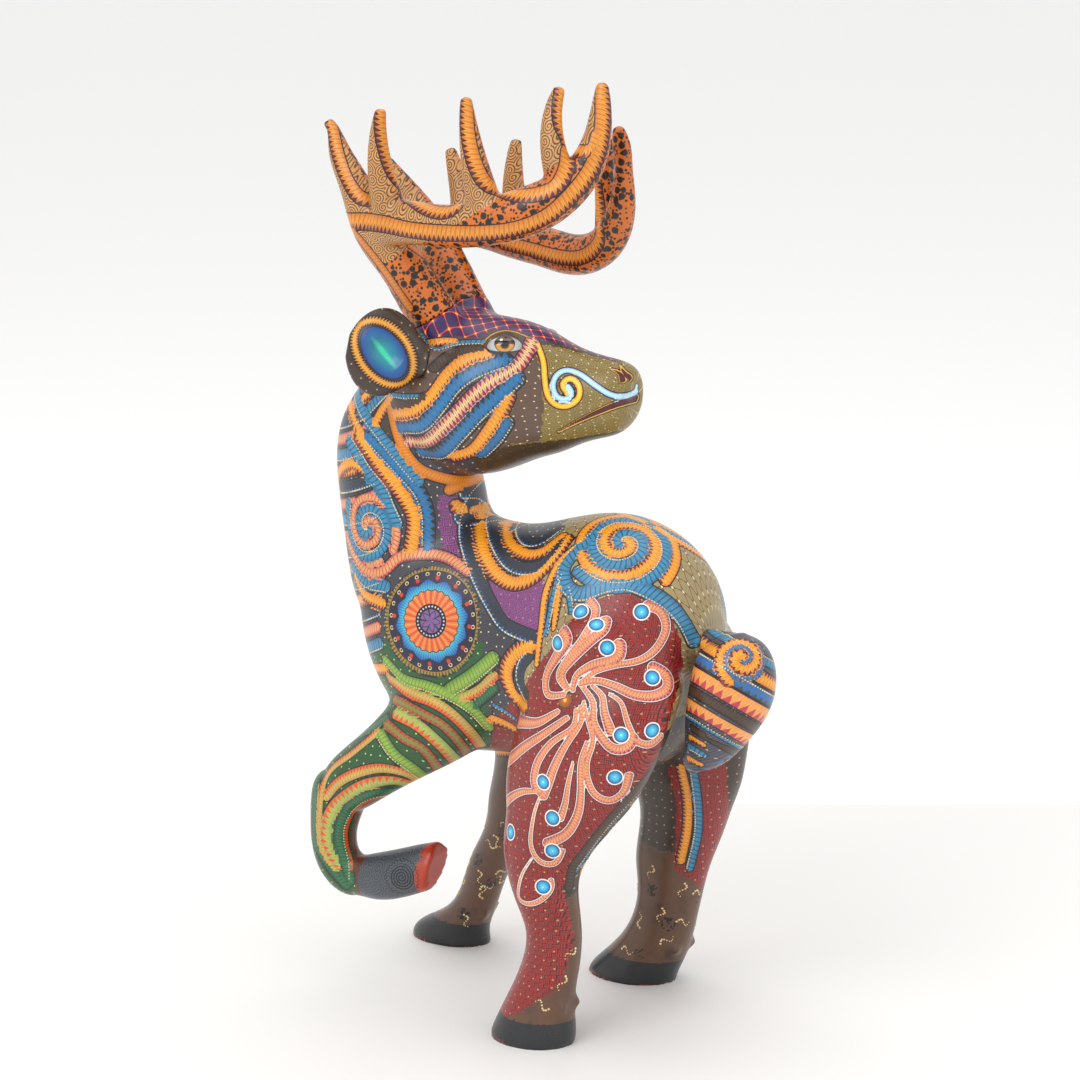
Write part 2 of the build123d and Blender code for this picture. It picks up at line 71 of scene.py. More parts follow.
MM = 0.001


# ---------------------------------------------------------------- places
def middle_of(node):
    low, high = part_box(node)
    return (np.array(low) + np.array(high)) / 2 / MM


RIGHT_EYE_MIDDLE = np.array((13.5, 24.0, 436.5))
SHIFT = middle_of("right_eye") - RIGHT_EYE_MIDDLE  # carver's axes to the frame's


def placed(point):
    return np.array(point, float) + SHIFT


def unit(vector):
    vector = np.array(vector, float)
    return vector / np.linalg.norm(vector)


VIEW_AZIMUTH = math.radians(210.5)
VIEW_ELEVATION = math.radians(14.0)
VIEW_DISTANCE = 2600.0
VIEW_TARGET = placed((0.0, 3.0, 310.0))
TOWARD_VIEWER = np.array(
    (
        math.sin(VIEW_AZIMUTH) * math.cos(VIEW_ELEVATION),
        -math.cos(VIEW_AZIMUTH) * math.cos(VIEW_ELEVATION),
        math.sin(VIEW_ELEVATION),
    )
)
STANDPOINT = VIEW_TARGET + VIEW_DISTANCE * TOWARD_VIEWER
ACROSS = unit(np.cross(-TOWARD_VIEWER, (0, 0, 1)))
UPWARD = np.cross(ACROSS, -TOWARD_VIEWER)


# ---------------------------------------------------------------- carving
def mesh_arrays(mesh):
    co = np.empty(len(mesh.vertices) * 3, np.float32)
    mesh.vertices.foreach_get("co", co)
    ends = np.empty(len(mesh.edges) * 2, np.int32)
    mesh.edges.foreach_get("vertices", ends)
    return co.reshape(-1, 3) / MM, ends.reshape(-1, 2)


def set_places(mesh, co):
    mesh.vertices.foreach_set("co", (co * MM).astype(np.float32).ravel())
    mesh.update()


def normals_of(mesh):
    normals = np.empty(len(mesh.vertices) * 3, np.float32)
    mesh.vertex_normals.foreach_get("vector", normals)
    return normals.reshape(-1, 3)


def one_skin(nodes, voxel):
    """One closed even mesh round several CAD nodes."""
    made = bmesh.new()
    for node in nodes:
        made.from_mesh(frame["nodes"][node].data)
    bmesh.ops.remove_doubles(made, verts=made.verts, dist=1e-6)
    mesh = bpy.data.meshes.new("blank")
    made.to_mesh(mesh)
    made.free()
    blank = bpy.data.objects.new("blank", mesh)
    bpy.context.scene.collection.objects.link(blank)
    remesh = blank.modifiers.new("remesh", "REMESH")
    remesh.mode = "VOXEL"
    remesh.voxel_size = voxel * MM
    seen = blank.evaluated_get(bpy.context.evaluated_depsgraph_get())
    skin = bpy.data.meshes.new_from_object(seen)
    bpy.data.objects.remove(blank)
    bpy.data.meshes.remove(mesh)
    skin.materials.clear()
    return skin


def pulls(co, ends, count):
    """The way from each vertex to the middle of its neighbours."""
    a, b = ends[:, 0], ends[:, 1]
    total = np.empty_like(co)
    for axis in range(3):
        total[:, axis] = np.bincount(a, co[b, axis], len(co))
        total[:, axis] += np.bincount(b, co[a, axis], len(co))
    return total / count[:, None] - co


def soften(mesh, fill_rounds, even_rounds, held):
    """Fills the creases between blocks, then evens the skin without shrinking it."""
    co, ends = mesh_arrays(mesh)
    count = np.bincount(ends.ravel(), minlength=len(co))
    free = 1.0 - held(co)
    for turn in range(fill_rounds):
        if turn % 10 == 0:
            set_places(mesh, co)
            normals = normals_of(mesh)
        step = pulls(co, ends, count)
        outward = np.clip((step * normals).sum(1), 0, None)
        co += 0.9 * (free * outward)[:, None] * normals
    for turn in range(even_rounds):
        for share in (0.6, -0.62):
            co += share * free[:, None] * pulls(co, ends, count)
    set_places(mesh, co)
    return co


def near_seat(co, seats):
    """1 close round a peg's seat, which stays as it was cut, and 0 away from it."""
    held = np.zeros(len(co))
    for seat, reach in seats:
        away = np.linalg.norm(co - placed(seat), axis=1)
        held = np.maximum(held, np.clip((reach + 3 - away) / 3, 0, 1))
    return held


# the seats and joints that the carver cut, in the carver's own axes
RIGHT_ANTLER_SEAT = (64.5, 26.0, 453.0)
LEFT_ANTLER_SEAT = (67.0, -16.0, 451.0)
RIGHT_EAR_SEAT = (57.0, 47.0, 429.0)
LEFT_EAR_SEAT = (60.0, -40.5, 417.0)
TAIL_SEAT = (-125.5, 10.0, 260.0)
SEATS = (
    (RIGHT_ANTLER_SEAT, 19.0),
    (LEFT_ANTLER_SEAT, 19.0),
    (RIGHT_EAR_SEAT, 12.0),
    (LEFT_EAR_SEAT, 12.0),
    (TAIL_SEAT, 12.0),
)
# place, way across the joint and how far round it the cut reaches
JOINTS = (
    ((88.0, 0.0, 285.0), (0.42, 0.0, 0.91), 130.0),
    ((80.0, 0.0, 369.0), (-0.59, 0.0, 0.81), 75.0),
    ((-49.0, 57.0, 150.0), (0.0, 0.0, 1.0), 52.0),
    ((-74.0, -58.5, 150.0), (0.0, 0.0, 1.0), 52.0),
    ((33.0, -47.0, 158.0), (0.0, 0.0, 1.0), 42.0),
    ((86.0, 45.0, 166.0), (-0.785, -0.07, 0.615), 45.0),
)
# a place inside each piece, by which it is found again after the cutting
HEARTS = {
    "torso": (0.0, 0.0, 246.0),
    "neck": (95.0, 0.0, 330.0),
    "head": (40.0, 0.0, 405.0),
    "left_hindleg": (-46.0, 64.0, 73.0),
    "right_hindleg": (-60.0, -66.0, 65.0),
    "right_foreleg": (70.0, -60.0, 73.0),
    "left_foreleg": (133.0, 44.0, 108.0),
}


def cut_apart(mesh):
    """The pieces between the glue joints, each closed with a flat face at its joints."""
    whole = bmesh.new()
    whole.from_mesh(mesh)
    for place, way, reach in JOINTS:
        point = Vector(placed(place) * MM)
        near = [f for f in whole.faces if (f.calc_center_median() - point).length < reach * MM]
        edges = {e for f in near for e in f.edges}
        verts = {v for f in near for v in f.verts}
        cut = bmesh.ops.bisect_plane(
            whole,
            geom=near + list(edges) + list(verts),
            plane_co=point,
            plane_no=Vector(way),
            dist=1e-8,
        )
        for item in cut["geom_cut"]:
            if isinstance(item, bmesh.types.BMEdge):
                item.seam = True
    whole.faces.ensure_lookup_table()
    part_of = [-1] * len(whole.faces)
    parts = 0
    for start in whole.faces:
        if part_of[start.index] >= 0:
            continue
        part_of[start.index] = parts
        waiting = [start]
        while waiting:
            face = waiting.pop()
            for edge in face.edges:
                if edge.seam:
                    continue
                for other in edge.link_faces:
                    if part_of[other.index] < 0:
                        part_of[other.index] = parts
                        waiting.append(other)
        parts += 1
    centres = np.array([f.calc_center_median() for f in whole.faces]) / MM
    whole.to_mesh(mesh)
    whole.free()
    return np.array(part_of), centres


def separated(mesh, part_of, centres):
    """The cut skin as one closed piece for each block."""
    names = {}
    for name, heart in HEARTS.items():
        nearest = np.linalg.norm(centres - placed(heart), axis=1).argmin()
        names[int(part_of[nearest])] = name
    for name in sorted(names.values()):
        mesh.materials.append(bpy.data.materials.new("part_" + name))
    order = sorted(names.values())
    index = np.array([order.index(names[p]) if p in names else 0 for p in range(part_of.max() + 1)])
    mesh.polygons.foreach_set("material_index", index[part_of].astype(np.int32))
    whole = bpy.data.objects.new("skin", mesh)
    bpy.context.scene.collection.objects.link(whole)
    for other in bpy.context.view_layer.objects:
        other.select_set(False)
    bpy.context.view_layer.objects.active = whole
    whole.select_set(True)
    bpy.ops.object.mode_set(mode="EDIT")
    bpy.ops.mesh.select_all(action="SELECT")
    bpy.ops.mesh.separate(type="MATERIAL")
    bpy.ops.object.mode_set(mode="OBJECT")
    pieces = {}
    for piece in list(bpy.context.selected_objects):
        own = piece.data
        name = own.materials[own.polygons[0].material_index].name.removeprefix("part_")
        own.materials.clear()
        own.polygons.foreach_set("material_index", [0] * len(own.polygons))
        close_joints(own)
        piece.name = name + "_carved"
        own.name = name + "_carved"
        piece.select_set(False)
        pieces[name] = piece
    for material in [m for m in bpy.data.materials if m.name.startswith("part_")]:
        bpy.data.materials.remove(material)
    return pieces


def close_joints(mesh):
    """A flat face over each open joint of a piece."""
    made = bmesh.new()
    made.from_mesh(mesh)
    open_edges = [e for e in made.edges if e.is_boundary]
    lids = bmesh.ops.holes_fill(made, edges=open_edges, sides=0)["faces"]
    for lid in lids:
        for edge in lid.edges:
            edge.smooth = False
    bmesh.ops.triangulate(made, faces=lids)
    made.to_mesh(mesh)
    made.free()
    mesh.polygons.foreach_set("use_smooth", [True] * len(mesh.polygons))
    mesh.update()


def finished(made, name):
    mesh = bpy.data.meshes.new(name)
    made.to_mesh(mesh)
    made.free()
    mesh.polygons.foreach_set("use_smooth", [True] * len(mesh.polygons))
    piece = bpy.data.objects.new(name, mesh)
    bpy.context.scene.collection.objects.link(piece)
    return piece


# ---------------------------------------------------------------- the drawing
# millimetres across and up from the middle of the drawing, which faces the standpoint
NECK_LINES = (
    ("blue_ladder", 4.0, ((-92, 11), (-97, 22), (-101, 32), (-110, 43), (-116, 53), (-122, 63))),
    ("orange_teeth", 4.5, ((-116, 66), (-103, 48), (-89, 30), (-81, 16), (-81, 5), (-83, -6))),
    ("blue_stars", 4.2, ((-110, 66), (-92, 47), (-77, 30), (-72, 15), (-72, -4))),
    (
        "pink_ribs",
        3.6,
        (
            (-123, 0), (-118, -12), (-110, -21), (-100, -20),
            (-90, -11), (-75, -9), (-60, -11), (-46, -20),
        ),
    ),
    ("orange_teeth", 3.5, ((-131, 32), (-128, 44), (-121, 49), (-113, 45))),
    ("orange_teeth", 3.5, ((-118, -24), (-113, -35), (-101, -41))),
    ("blue_ladder", 4.0, ((-120, -17), (-112, -27), (-99, -30))),
    (
        "dusk_ladder",
        4.4,
        (
            (-36, 35), (-45, 23), (-48, 5), (-45, -10),
            (-39, -26), (-31, -42), (-22, -55), (-4, -63),
        ),
    ),
    (
        "orange_teeth",
        4.4,
        (
            (-28, 30), (-37, 20), (-39, 5), (-36, -10),
            (-27, -23), (-16, -28), (-4, -24), (7, -13), (17, 0),
        ),
    ),
    (
        "dusk_ladder",
        4.2,
        (
            (-25, 25), (-31, 13), (-28, -2),
            (-20, -15), (-9, -19), (3, -15), (14, -1),
        ),
    ),
    ("orange_teeth", 3.8, ((-18, 17), (-22, 10), (-20, -2), (-10, -9), (1, -8), (14, 2))),
    ("dusk_ladder", 3.6, ((-9, 12), (-13, 7), (-9, -1), (0, -1), (12, 7))),
)
BACK_LINES = (
    ("brown_ribs", 2.8, ((70, -150), (54, -168), (38, -187), (22, -208))),
    ("orange_teeth", 2.8, ((76, -155), (60, -172), (44, -191), (27, -212))),
    ("orange_teeth", 3.0, ((90, -146), (94, -165), (94, -185), (90, -205))),
    ("blue_ladder", 2.6, ((98, -146), (101, -168), (101, -188), (96, -210))),
    (
        "blue_ladder",
        4.6,
        (
            (35, 3), (23, -7), (15, -18), (17, -30), (26, -35),
            (40, -30), (55, -28), (69, -33), (82, -41), (91, -51), (98, -64),
        ),
    ),
    ("orange_teeth", 2.4, ((-2, -79), (1, -55), (4, -33), (13, -14), (29, 0), (47, 11))),
    ("orange_teeth", 2.4, ((9, -56), (12, -35), (15, -19))),
    ("blue_ladder", 1.8, ((4, -60), (8, -38), (13, -20))),
    ("blue_ladder", 1.8, ((20, -46), (19, -38), (17, -30))),
    ("orange_teeth", 4.6, ((-5, -66), (-16, -72), (-22, -84), (-18, -98), (-10, -107))),
    ("dusk_ladder", 3.6, ((-7, -74), (-12, -80), (-13, -91), (-9, -100))),
    ("blue_ladder", 1.6, ((-29, -106), (-22, -110), (-14, -116))),
    ("orange_teeth", 3.6, ((-30, -115), (-22, -118), (-15, -122))),
    ("orange_teeth", 3.0, ((-30, -135), (-19, -136))),
    (
        "brown_ribs",
        3.2,
        (
            (94, -69), (93, -88), (86, -107), (79, -137),
            (66, -158), (48, -178), (34, -194), (22, -208), (19, -222),
        ),
    ),
    ("blue_ladder", 1.6, ((84, -138), (71, -155), (53, -174), (37, -193), (24, -211))),
    ("orange_ticks", 3.0, ((86, -143), (74, -158), (58, -174), (41, -191), (28, -208))),
)
WHIRL_LINES = (
    ("arm", 3.6, ((15, -99), (5, -99), (4, -87), (11, -74), (18, -63), (15, -59))),
    ("arm", 2.6, ((17, -96), (11, -87), (18, -75), (26, -65), (34, -52), (36, -43), (32, -39))),
    ("arm", 3.2, ((18, -95), (14, -86), (23, -74), (34, -63), (41, -57), (42, -52))),
    ("arm", 3.4, ((21, -96), (23, -87), (34, -80), (44, -78), (51, -74), (51, -67))),
    (
        "arm",
        2.8,
        (
            (26, -91), (36, -84), (49, -80), (64, -77),
            (75, -69), (81, -56), (77, -45), (69, -42),
        ),
    ),
    (
        "arm",
        3.6,
        (
            (26, -92), (36, -90), (49, -94), (60, -99),
            (73, -100), (82, -95), (81, -86), (73, -82),
        ),
    ),
    (
        "arm",
        3.2,
        (
            (28, -95), (34, -104), (34, -116),
            (39, -126), (47, -134), (56, -133), (59, -127),
        ),
    ),
    ("arm", 2.8, ((34, -94), (40, -100), (41, -110), (45, -122))),
    ("arm", 2.4, ((45, -99), (52, -104), (56, -117), (62, -129), (71, -131), (77, -126))),
    (
        "arm",
        2.6,
        (
            (28, -104), (31, -117), (34, -129), (30, -141),
            (30, -152), (35, -163), (45, -167), (54, -161), (57, -151),
        ),
    ),
    ("arm", 3.0, ((26, -107), (26, -117), (17, -130), (10, -143), (5, -156), (2, -163))),
    ("arm", 2.8, ((23, -109), (21, -120), (7, -130), (-2, -143), (-4, -156), (0, -161))),
    ("arm", 3.0, ((30, -130), (26, -143), (26, -163), (24, -176), (17, -188), (5, -194))),
    ("arm", 2.2, ((21, -143), (18, -156), (16, -169), (13, -178))),
    ("arm", 3.6, ((11, -110), (-2, -117), (-13, -116))),
    ("arm", 3.6, ((17, -114), (1, -125), (-11, -133), (-20, -141))),
    ("arm", 2.8, ((0, -161), (-12, -161), (-21, -167), (-25, -176))),
    ("arm", 2.0, ((0, -164), (-4, -176), (-6, -195), (0, -206), (10, -207), (14, -199))),
    (
        "arm",
        1.8,
        (
            (-6, -205), (-12, -215), (-14, -229),
            (-8, -233), (0, -231), (7, -224), (7, -218),
        ),
    ),
)
HEAD_LINES = (
    ("blue_ladder", 1.7, ((-75, 131), (-68, 122), (-54, 126), (-37, 127))),
    ("brown_ribs", 3.0, ((-68, 110), (-59, 118), (-48, 122), (-39, 122))),
    (
        "orange_teeth",
        4.0,
        (
            (-93, 80), (-81, 82), (-70, 91),
            (-62, 102), (-54, 111), (-43, 117), (-33, 119),
        ),
    ),
    ("blue_stars", 5.0, ((-89, 72), (-76, 73), (-64, 86), (-54, 99), (-41, 108), (-23, 115))),
    (
        "cream_ribs",
        4.2,
        (
            (-83, 63), (-72, 63), (-59, 75), (-48, 87),
            (-35, 99), (-16, 110), (-9, 119), (-5, 127),
        ),
    ),
    ("blue_stars", 5.0, ((-75, 56), (-64, 55), (-51, 68), (-40, 80), (-28, 91), (-15, 103))),
    ("orange_teeth", 4.2, ((-56, 53), (-43, 57), (-33, 69), (-24, 83), (-20, 92))),
    ("blue_stars", 4.2, ((-37, 55), (-28, 64), (-21, 75))),
    ("blue_ladder", 1.6, ((-95, 93), (-87, 92), (-78, 92))),
    ("brown_ribs", 3.2, ((-94, 88), (-85, 87), (-74, 91))),
    ("orange_teeth", 2.6, ((-70, 126), (-62, 127), (-55, 127))),
    ("collar", 3.4, ((-96, 84), (-90, 64), (-81, 49), (-70, 42), (-51, 38), (-32, 41))),
    (
        "glow_orange",
        2.2,
        (
            (-2, 126), (2, 115), (3, 103), (5, 92), (11, 86), (19, 86),
            (25, 91), (25, 99), (20, 104), (15, 102), (14, 97), (17, 95),
        ),
    ),
    (
        "glow_blue",
        2.2,
        (
            (62, 95), (54, 92), (45, 93), (34, 100), (26, 106), (17, 109),
            (10, 105), (8, 98), (11, 91), (18, 90), (21, 94), (18, 98),
        ),
    ),
    ("mouth", 3.2, ((12, 69), (27, 77), (45, 85), (62, 91))),
    ("mouth", 2.6, ((51, 113), (54, 107), (58, 104))),
    ("lid", 1.1, ((-40, 121), (-33, 130), (-24, 134), (-15, 133), (-6, 129))),
)
NAPE_LINES = (
    ("orange_teeth", 3.4, ((-122, 91), (-120, 79), (-112, 64), (-102, 49), (-91, 37))),
    ("blue_ladder", 3.6, ((-118, 96), (-114, 83), (-103, 68), (-90, 52), (-78, 38))),
    ("orange_teeth", 3.0, ((-113, 91), (-107, 96), (-102, 100))),
    ("blue_ladder", 3.0, ((-110, 83), (-103, 91), (-98, 96))),
    ("orange_teeth", 3.0, ((-106, 73), (-101, 83), (-95, 91))),
)
LIFTED_LINES = (
    (
        "green_ribs",
        3.4,
        (
            (-99, -77), (-87, -89), (-71, -94),
            (-57, -100), (-43, -109), (-33, -120),
        ),
    ),
    (
        "ember_ribs",
        3.4,
        (
            (-96, -89), (-83, -98), (-70, -103),
            (-57, -111), (-43, -125), (-33, -139),
        ),
    ),
    ("lozenges", 3.0, ((-93, -102), (-76, -111), (-63, -118), (-52, -129), (-42, -143))),
    ("green_teeth", 3.8, ((-92, -111), (-79, -118), (-67, -128), (-57, -138), (-48, -148))),
    ("lozenges", 3.2, ((-98, -118), (-87, -127), (-76, -133), (-68, -142), (-62, -152))),
    ("green_ribs", 4.0, ((-102, -125), (-94, -137), (-82, -146), (-71, -154))),
    (
        "deep_green",
        3.6,
        (
            (-99, -114), (-112, -123), (-126, -132), (-137, -142),
            (-143, -155), (-144, -170), (-144, -192), (-138, -205), (-125, -221),
        ),
    ),
    (
        "ember_ribs",
        2.6,
        (
            (-104, -123), (-121, -137), (-133, -146), (-139, -157),
            (-141, -170), (-142, -186), (-139, -200), (-130, -214),
        ),
    ),
    (
        "ember_ribs",
        3.2,
        (
            (-74, -155), (-87, -149), (-102, -146),
            (-117, -149), (-129, -155), (-137, -164),
        ),
    ),
    (
        "green_teeth",
        4.0,
        (
            (-78, -157), (-96, -154), (-112, -157), (-124, -164),
            (-133, -173), (-137, -185), (-136, -196), (-130, -207),
        ),
    ),
    (
        "deep_green",
        4.2,
        (
            (-83, -159), (-101, -161), (-115, -165), (-124, -173),
            (-128, -182), (-129, -192), (-126, -203), (-122, -217),
        ),
    ),
    (
        "ember_edge",
        1.7,
        (
            (-92, -162), (-110, -167), (-119, -174),
            (-124, -184), (-124, -194), (-121, -206), (-121, -218),
        ),
    ),
    ("green_ribs", 4.6, ((-57, -96), (-43, -87), (-30, -76))),
    ("ember_ribs", 3.0, ((-51, -102), (-39, -96), (-29, -87))),
    ("deep_green", 3.0, ((-43, -107), (-37, -102), (-29, -95))),
    ("line", 0.5, ((-29, -70), (-30, -103), (-32, -142))),
)
NEAR_ANTLER_LINES = (
    (
        "saw",
        4.2,
        (
            (-122, 204), (-105, 203), (-83, 198), (-60, 196), (-36, 196), (-14, 199),
            (5, 207), (21, 221), (33, 237), (39, 253), (41, 272), (40, 290),
        ),
    ),
    ("saw", 3.4, ((-134, 266), (-130, 248), (-124, 231), (-115, 219), (-105, 219), (-96, 228))),
    (
        "saw",
        3.8,
        (
            (-102, 274), (-100, 256), (-95, 237), (-86, 222),
            (-74, 213), (-60, 210), (-46, 218), (-43, 228),
        ),
    ),
    (
        "saw",
        3.8,
        (
            (-47, 282), (-47, 263), (-43, 244), (-35, 229),
            (-21, 222), (-5, 221), (10, 226), (17, 238), (17, 248),
        ),
    ),
    ("saw", 3.4, ((14, 290), (12, 273), (15, 259), (24, 249), (34, 250), (37, 259))),
    ("plain_orange", 2.6, ((-120, 198), (-102, 175), (-84, 149))),
    ("plain_orange", 2.4, ((-89, 194), (-68, 175), (-51, 151))),
    ("saw", 3.6, ((-74, 191), (-60, 172), (-49, 153))),
)
FAR_ANTLER_LINES = (
    ("saw", 3.6, ((-24, 190), (-7, 186), (12, 181), (27, 181), (37, 190), (38, 204), (36, 225))),
    ("saw", 3.0, ((21, 209), (27, 203), (34, 204))),
)
GEM_PLACES = (
    (11, -66), (26, -46), (36, -54), (43, -69), (65, -46), (72, -88),
    (52, -125), (72, -122), (48, -152), (2, -155), (8, -178), (8, -199),
    (-19, -187), (2, -222),
)
THIGH_OUTLINE = (
    (1, -78), (13, -60), (28, -41), (44, -35), (60, -33), (73, -40),
    (85, -50), (90, -65), (91, -80), (87, -99), (82, -117), (75, -138),
    (62, -156), (45, -176), (31, -191), (19, -207), (15, -222),
)
CROWN_OUTLINE = (
    (-94, 133), (-70, 130), (-55, 127), (-37, 130), (-32, 134),
    (-19, 135), (-6, 130), (14, 125), (47, 115), (65, 115),
)
MUZZLE_OUTLINE = (
    (-4, 126), (14, 123), (47, 114), (65, 115), (68, 91),
    (60, 72), (27, 66), (-19, 61), (-21, 80),
)
MAUVE_OUTLINE = (
    (-4, 125), (-20, 86), (-20, 62),
    (0, 64), (3, 86), (-2, 122),
)
GREEN_OUTLINE = (
    (-104, -64), (-29, -64), (-30, -103), (-32, -141), (-43, -150), (-74, -157),
    (-110, -168), (-118, -174), (-122, -192), (-119, -207), (-117, -227), (-132, -225),
    (-149, -203), (-149, -137), (-110, -112),
)
THIGH_FOOT = (
    (22, -256), (13, -285), (-13, -302), (-27, -307), (-38, -288), (-40, -230),
    (-36, -166), (-34, -120), (-12, -96),
)
CHEEK_OUTLINE = (
    (-75, 131), (-5, 127), (-20, 85), (-20, 61), (-59, 50), (-83, 59),
    (-95, 85), (-94, 95),
)


# ---------------------------------------------------------------- drawn lines
def curve_through(points, step=2.0):
    """Close places along a smooth curve through a few given ones."""
    points = [np.array(p, float) for p in points]
    if len(points) == 2:
        count = max(int(np.linalg.norm(points[1] - points[0]) / step), 2)
        return np.array([points[0] + (points[1] - points[0]) * i / count for i in range(count + 1)])
    ends = [2 * points[0] - points[1], *points, 2 * points[-1] - points[-2]]
    along = []
    for i in range(1, len(ends) - 2):
        a, b, c, d = ends[i - 1 : i + 3]
        count = max(int(np.linalg.norm(c - b) / step), 1)
        for k in range(count):
            t = k / count
            along.append(
                0.5
                * (
                    2 * b
                    + (c - a) * t
                    + (2 * a - 5 * b + 4 * c - d) * t * t
                    + (3 * b - a - 3 * c + d) * t**3
                )
            )
    along.append(points[-1])
    return np.array(along)


def on_surface(tree, point):
    hit, normal, _, _ = tree.find_nearest(Vector(point * MM))
    return np.array(hit) / MM, np.array(normal)


def sighted(tree, across, up, behind=False):
    """Where the line of sight through a place on the drawing meets the wood."""
    aim = VIEW_TARGET + across * ACROSS + up * UPWARD
    way = unit(aim - STANDPOINT)
    start = STANDPOINT
    if behind:
        start, way = STANDPOINT + way * 2 * VIEW_DISTANCE, -way
    hit, normal, _, _ = tree.ray_cast(Vector(start * MM), Vector(way))
    if hit is not None:
        return np.array(hit) / MM, np.array(normal)
    tries = [start + way * (VIEW_DISTANCE + k * 10.0) for k in range(-18, 19)]
    found = [(np.linalg.norm(on_surface(tree, p)[0] - p), k) for k, p in enumerate(tries)]
    return on_surface(tree, tries[min(found)[1]])


def even_line(places, normals, spacing=1.0):
    """A line with places every millimetre, its directions and its running length."""
    places = np.array(places)
    for _ in range(2):
        places[1:-1] = (places[:-2] + 2 * places[1:-1] + places[2:]) / 4
    steps = np.linalg.norm(np.diff(places, axis=0), axis=1)
    run = np.concatenate([[0], np.cumsum(steps)])
    count = max(int(run[-1] / spacing), 2)
    at = np.linspace(0, run[-1], count)
    line = np.stack([np.interp(at, run, places[:, k]) for k in range(3)], 1)
    faces = np.stack([np.interp(at, run, np.array(normals)[:, k]) for k in range(3)], 1)
    heading = np.gradient(line, axis=0)
    heading /= np.linalg.norm(heading, axis=1)[:, None] + 1e-9
    return line, heading, faces / (np.linalg.norm(faces, axis=1)[:, None] + 1e-9), at


def stroke(kind, half_width, places, normals, taper=(1.0, 1.0)):
    line, heading, faces, at = even_line(places, normals)
    share = at / max(at[-1], 1e-6)
    width = half_width * (taper[0] + (taper[1] - taper[0]) * share)
    return {
        "kind": kind,
        "line": line,
        "heading": heading,
        "normal": faces,
        "at": at,
        "width": width,
    }


LONGEST_JUMP = 11.0  # a longer one means that the line has left the form it is drawn on


def drawn(tree, kind, half_width, layout, behind=False, taper=(1.0, 1.0)):
    """A stroke laid on the wood where a line on the drawing falls."""
    found = [sighted(tree, u, v, behind) for u, v in curve_through(layout)]
    runs = [[found[0]]]
    for before, after in zip(found, found[1:]):
        if np.linalg.norm(after[0] - before[0]) > LONGEST_JUMP:
            runs.append([])
        runs[-1].append(after)
    kept = max(runs, key=len)
    if len(kept) < 3:
        kept = found
    return stroke(kind, half_width, [f[0] for f in kept], [f[1] for f in kept], taper)


STRAY = 12.0  # a mark that falls further than this from the wood is left out


def mirrored(tree, made, middle_y):
    """The same stroke on the other side of the figure, as far as the wood lies the same there."""
    flip = np.array((1.0, -1.0, 1.0))
    places = made["line"] * flip + (0, 2 * middle_y, 0)
    found = []
    for place in places[::2]:
        hit, normal = on_surface(tree, place)
        apart = found and np.linalg.norm(hit - found[-1][0]) > LONGEST_JUMP
        if np.linalg.norm(hit - place) > STRAY or apart:
            if len(found) > 6:
                break
            found = []
        found.append((hit, normal))
    if len(found) < 5:
        return None
    half = made["width"].mean()
    ends = (made["width"][0] / half, made["width"][-1] / half)
    return stroke(made["kind"], half, [f[0] for f in found], [f[1] for f in found], ends)


STEPS_A_TURN = 40


def coil(
    tree, middle, kind, half_width, pitch, turns, start_angle, start_radius, hand=1.0, lift=0.0
):
    """A spiral stroke round a place on the wood."""
    place, normal = middle
    side = unit(np.cross((0, 0, 1), normal)) if abs(normal[2]) < 0.95 else np.array((1.0, 0, 0))
    up = np.cross(normal, side)
    places, faces = [], []
    for k in range(int(turns * STEPS_A_TURN) + 1):
        angle = start_angle + hand * 2 * math.pi * k / STEPS_A_TURN
        radius = start_radius + pitch * k / STEPS_A_TURN
        at = place + radius * (math.cos(angle) * side + math.sin(angle) * up)
        hit, face = on_surface(tree, at)
        places.append(hit)
        faces.append(face)
    made = stroke(kind, half_width, places, faces)
    made["lift"] = lift
    return made


def ring(tree, middle, axis, kind, half_width, reach=60.0):
    """A stroke all the way round a form."""
    axis = unit(axis)
    side = unit(np.cross(axis, (0.3, 1.0, 0.2)))
    up = np.cross(axis, side)
    places, faces = [], []
    for k in range(49):
        angle = 2 * math.pi * k / 48
        way = math.cos(angle) * side + math.sin(angle) * up
        hit, normal, _, _ = tree.ray_cast(Vector((middle + way * reach) * MM), Vector(-way))
        if hit is None:
            continue
        places.append(np.array(hit) / MM)
        faces.append(np.array(normal))
    return stroke(kind, half_width, places, faces)


# ---------------------------------------------------------------- laying the paint on a mesh
ON_TOP = 50.0  # puts the inside of any stroke before the outside of every other


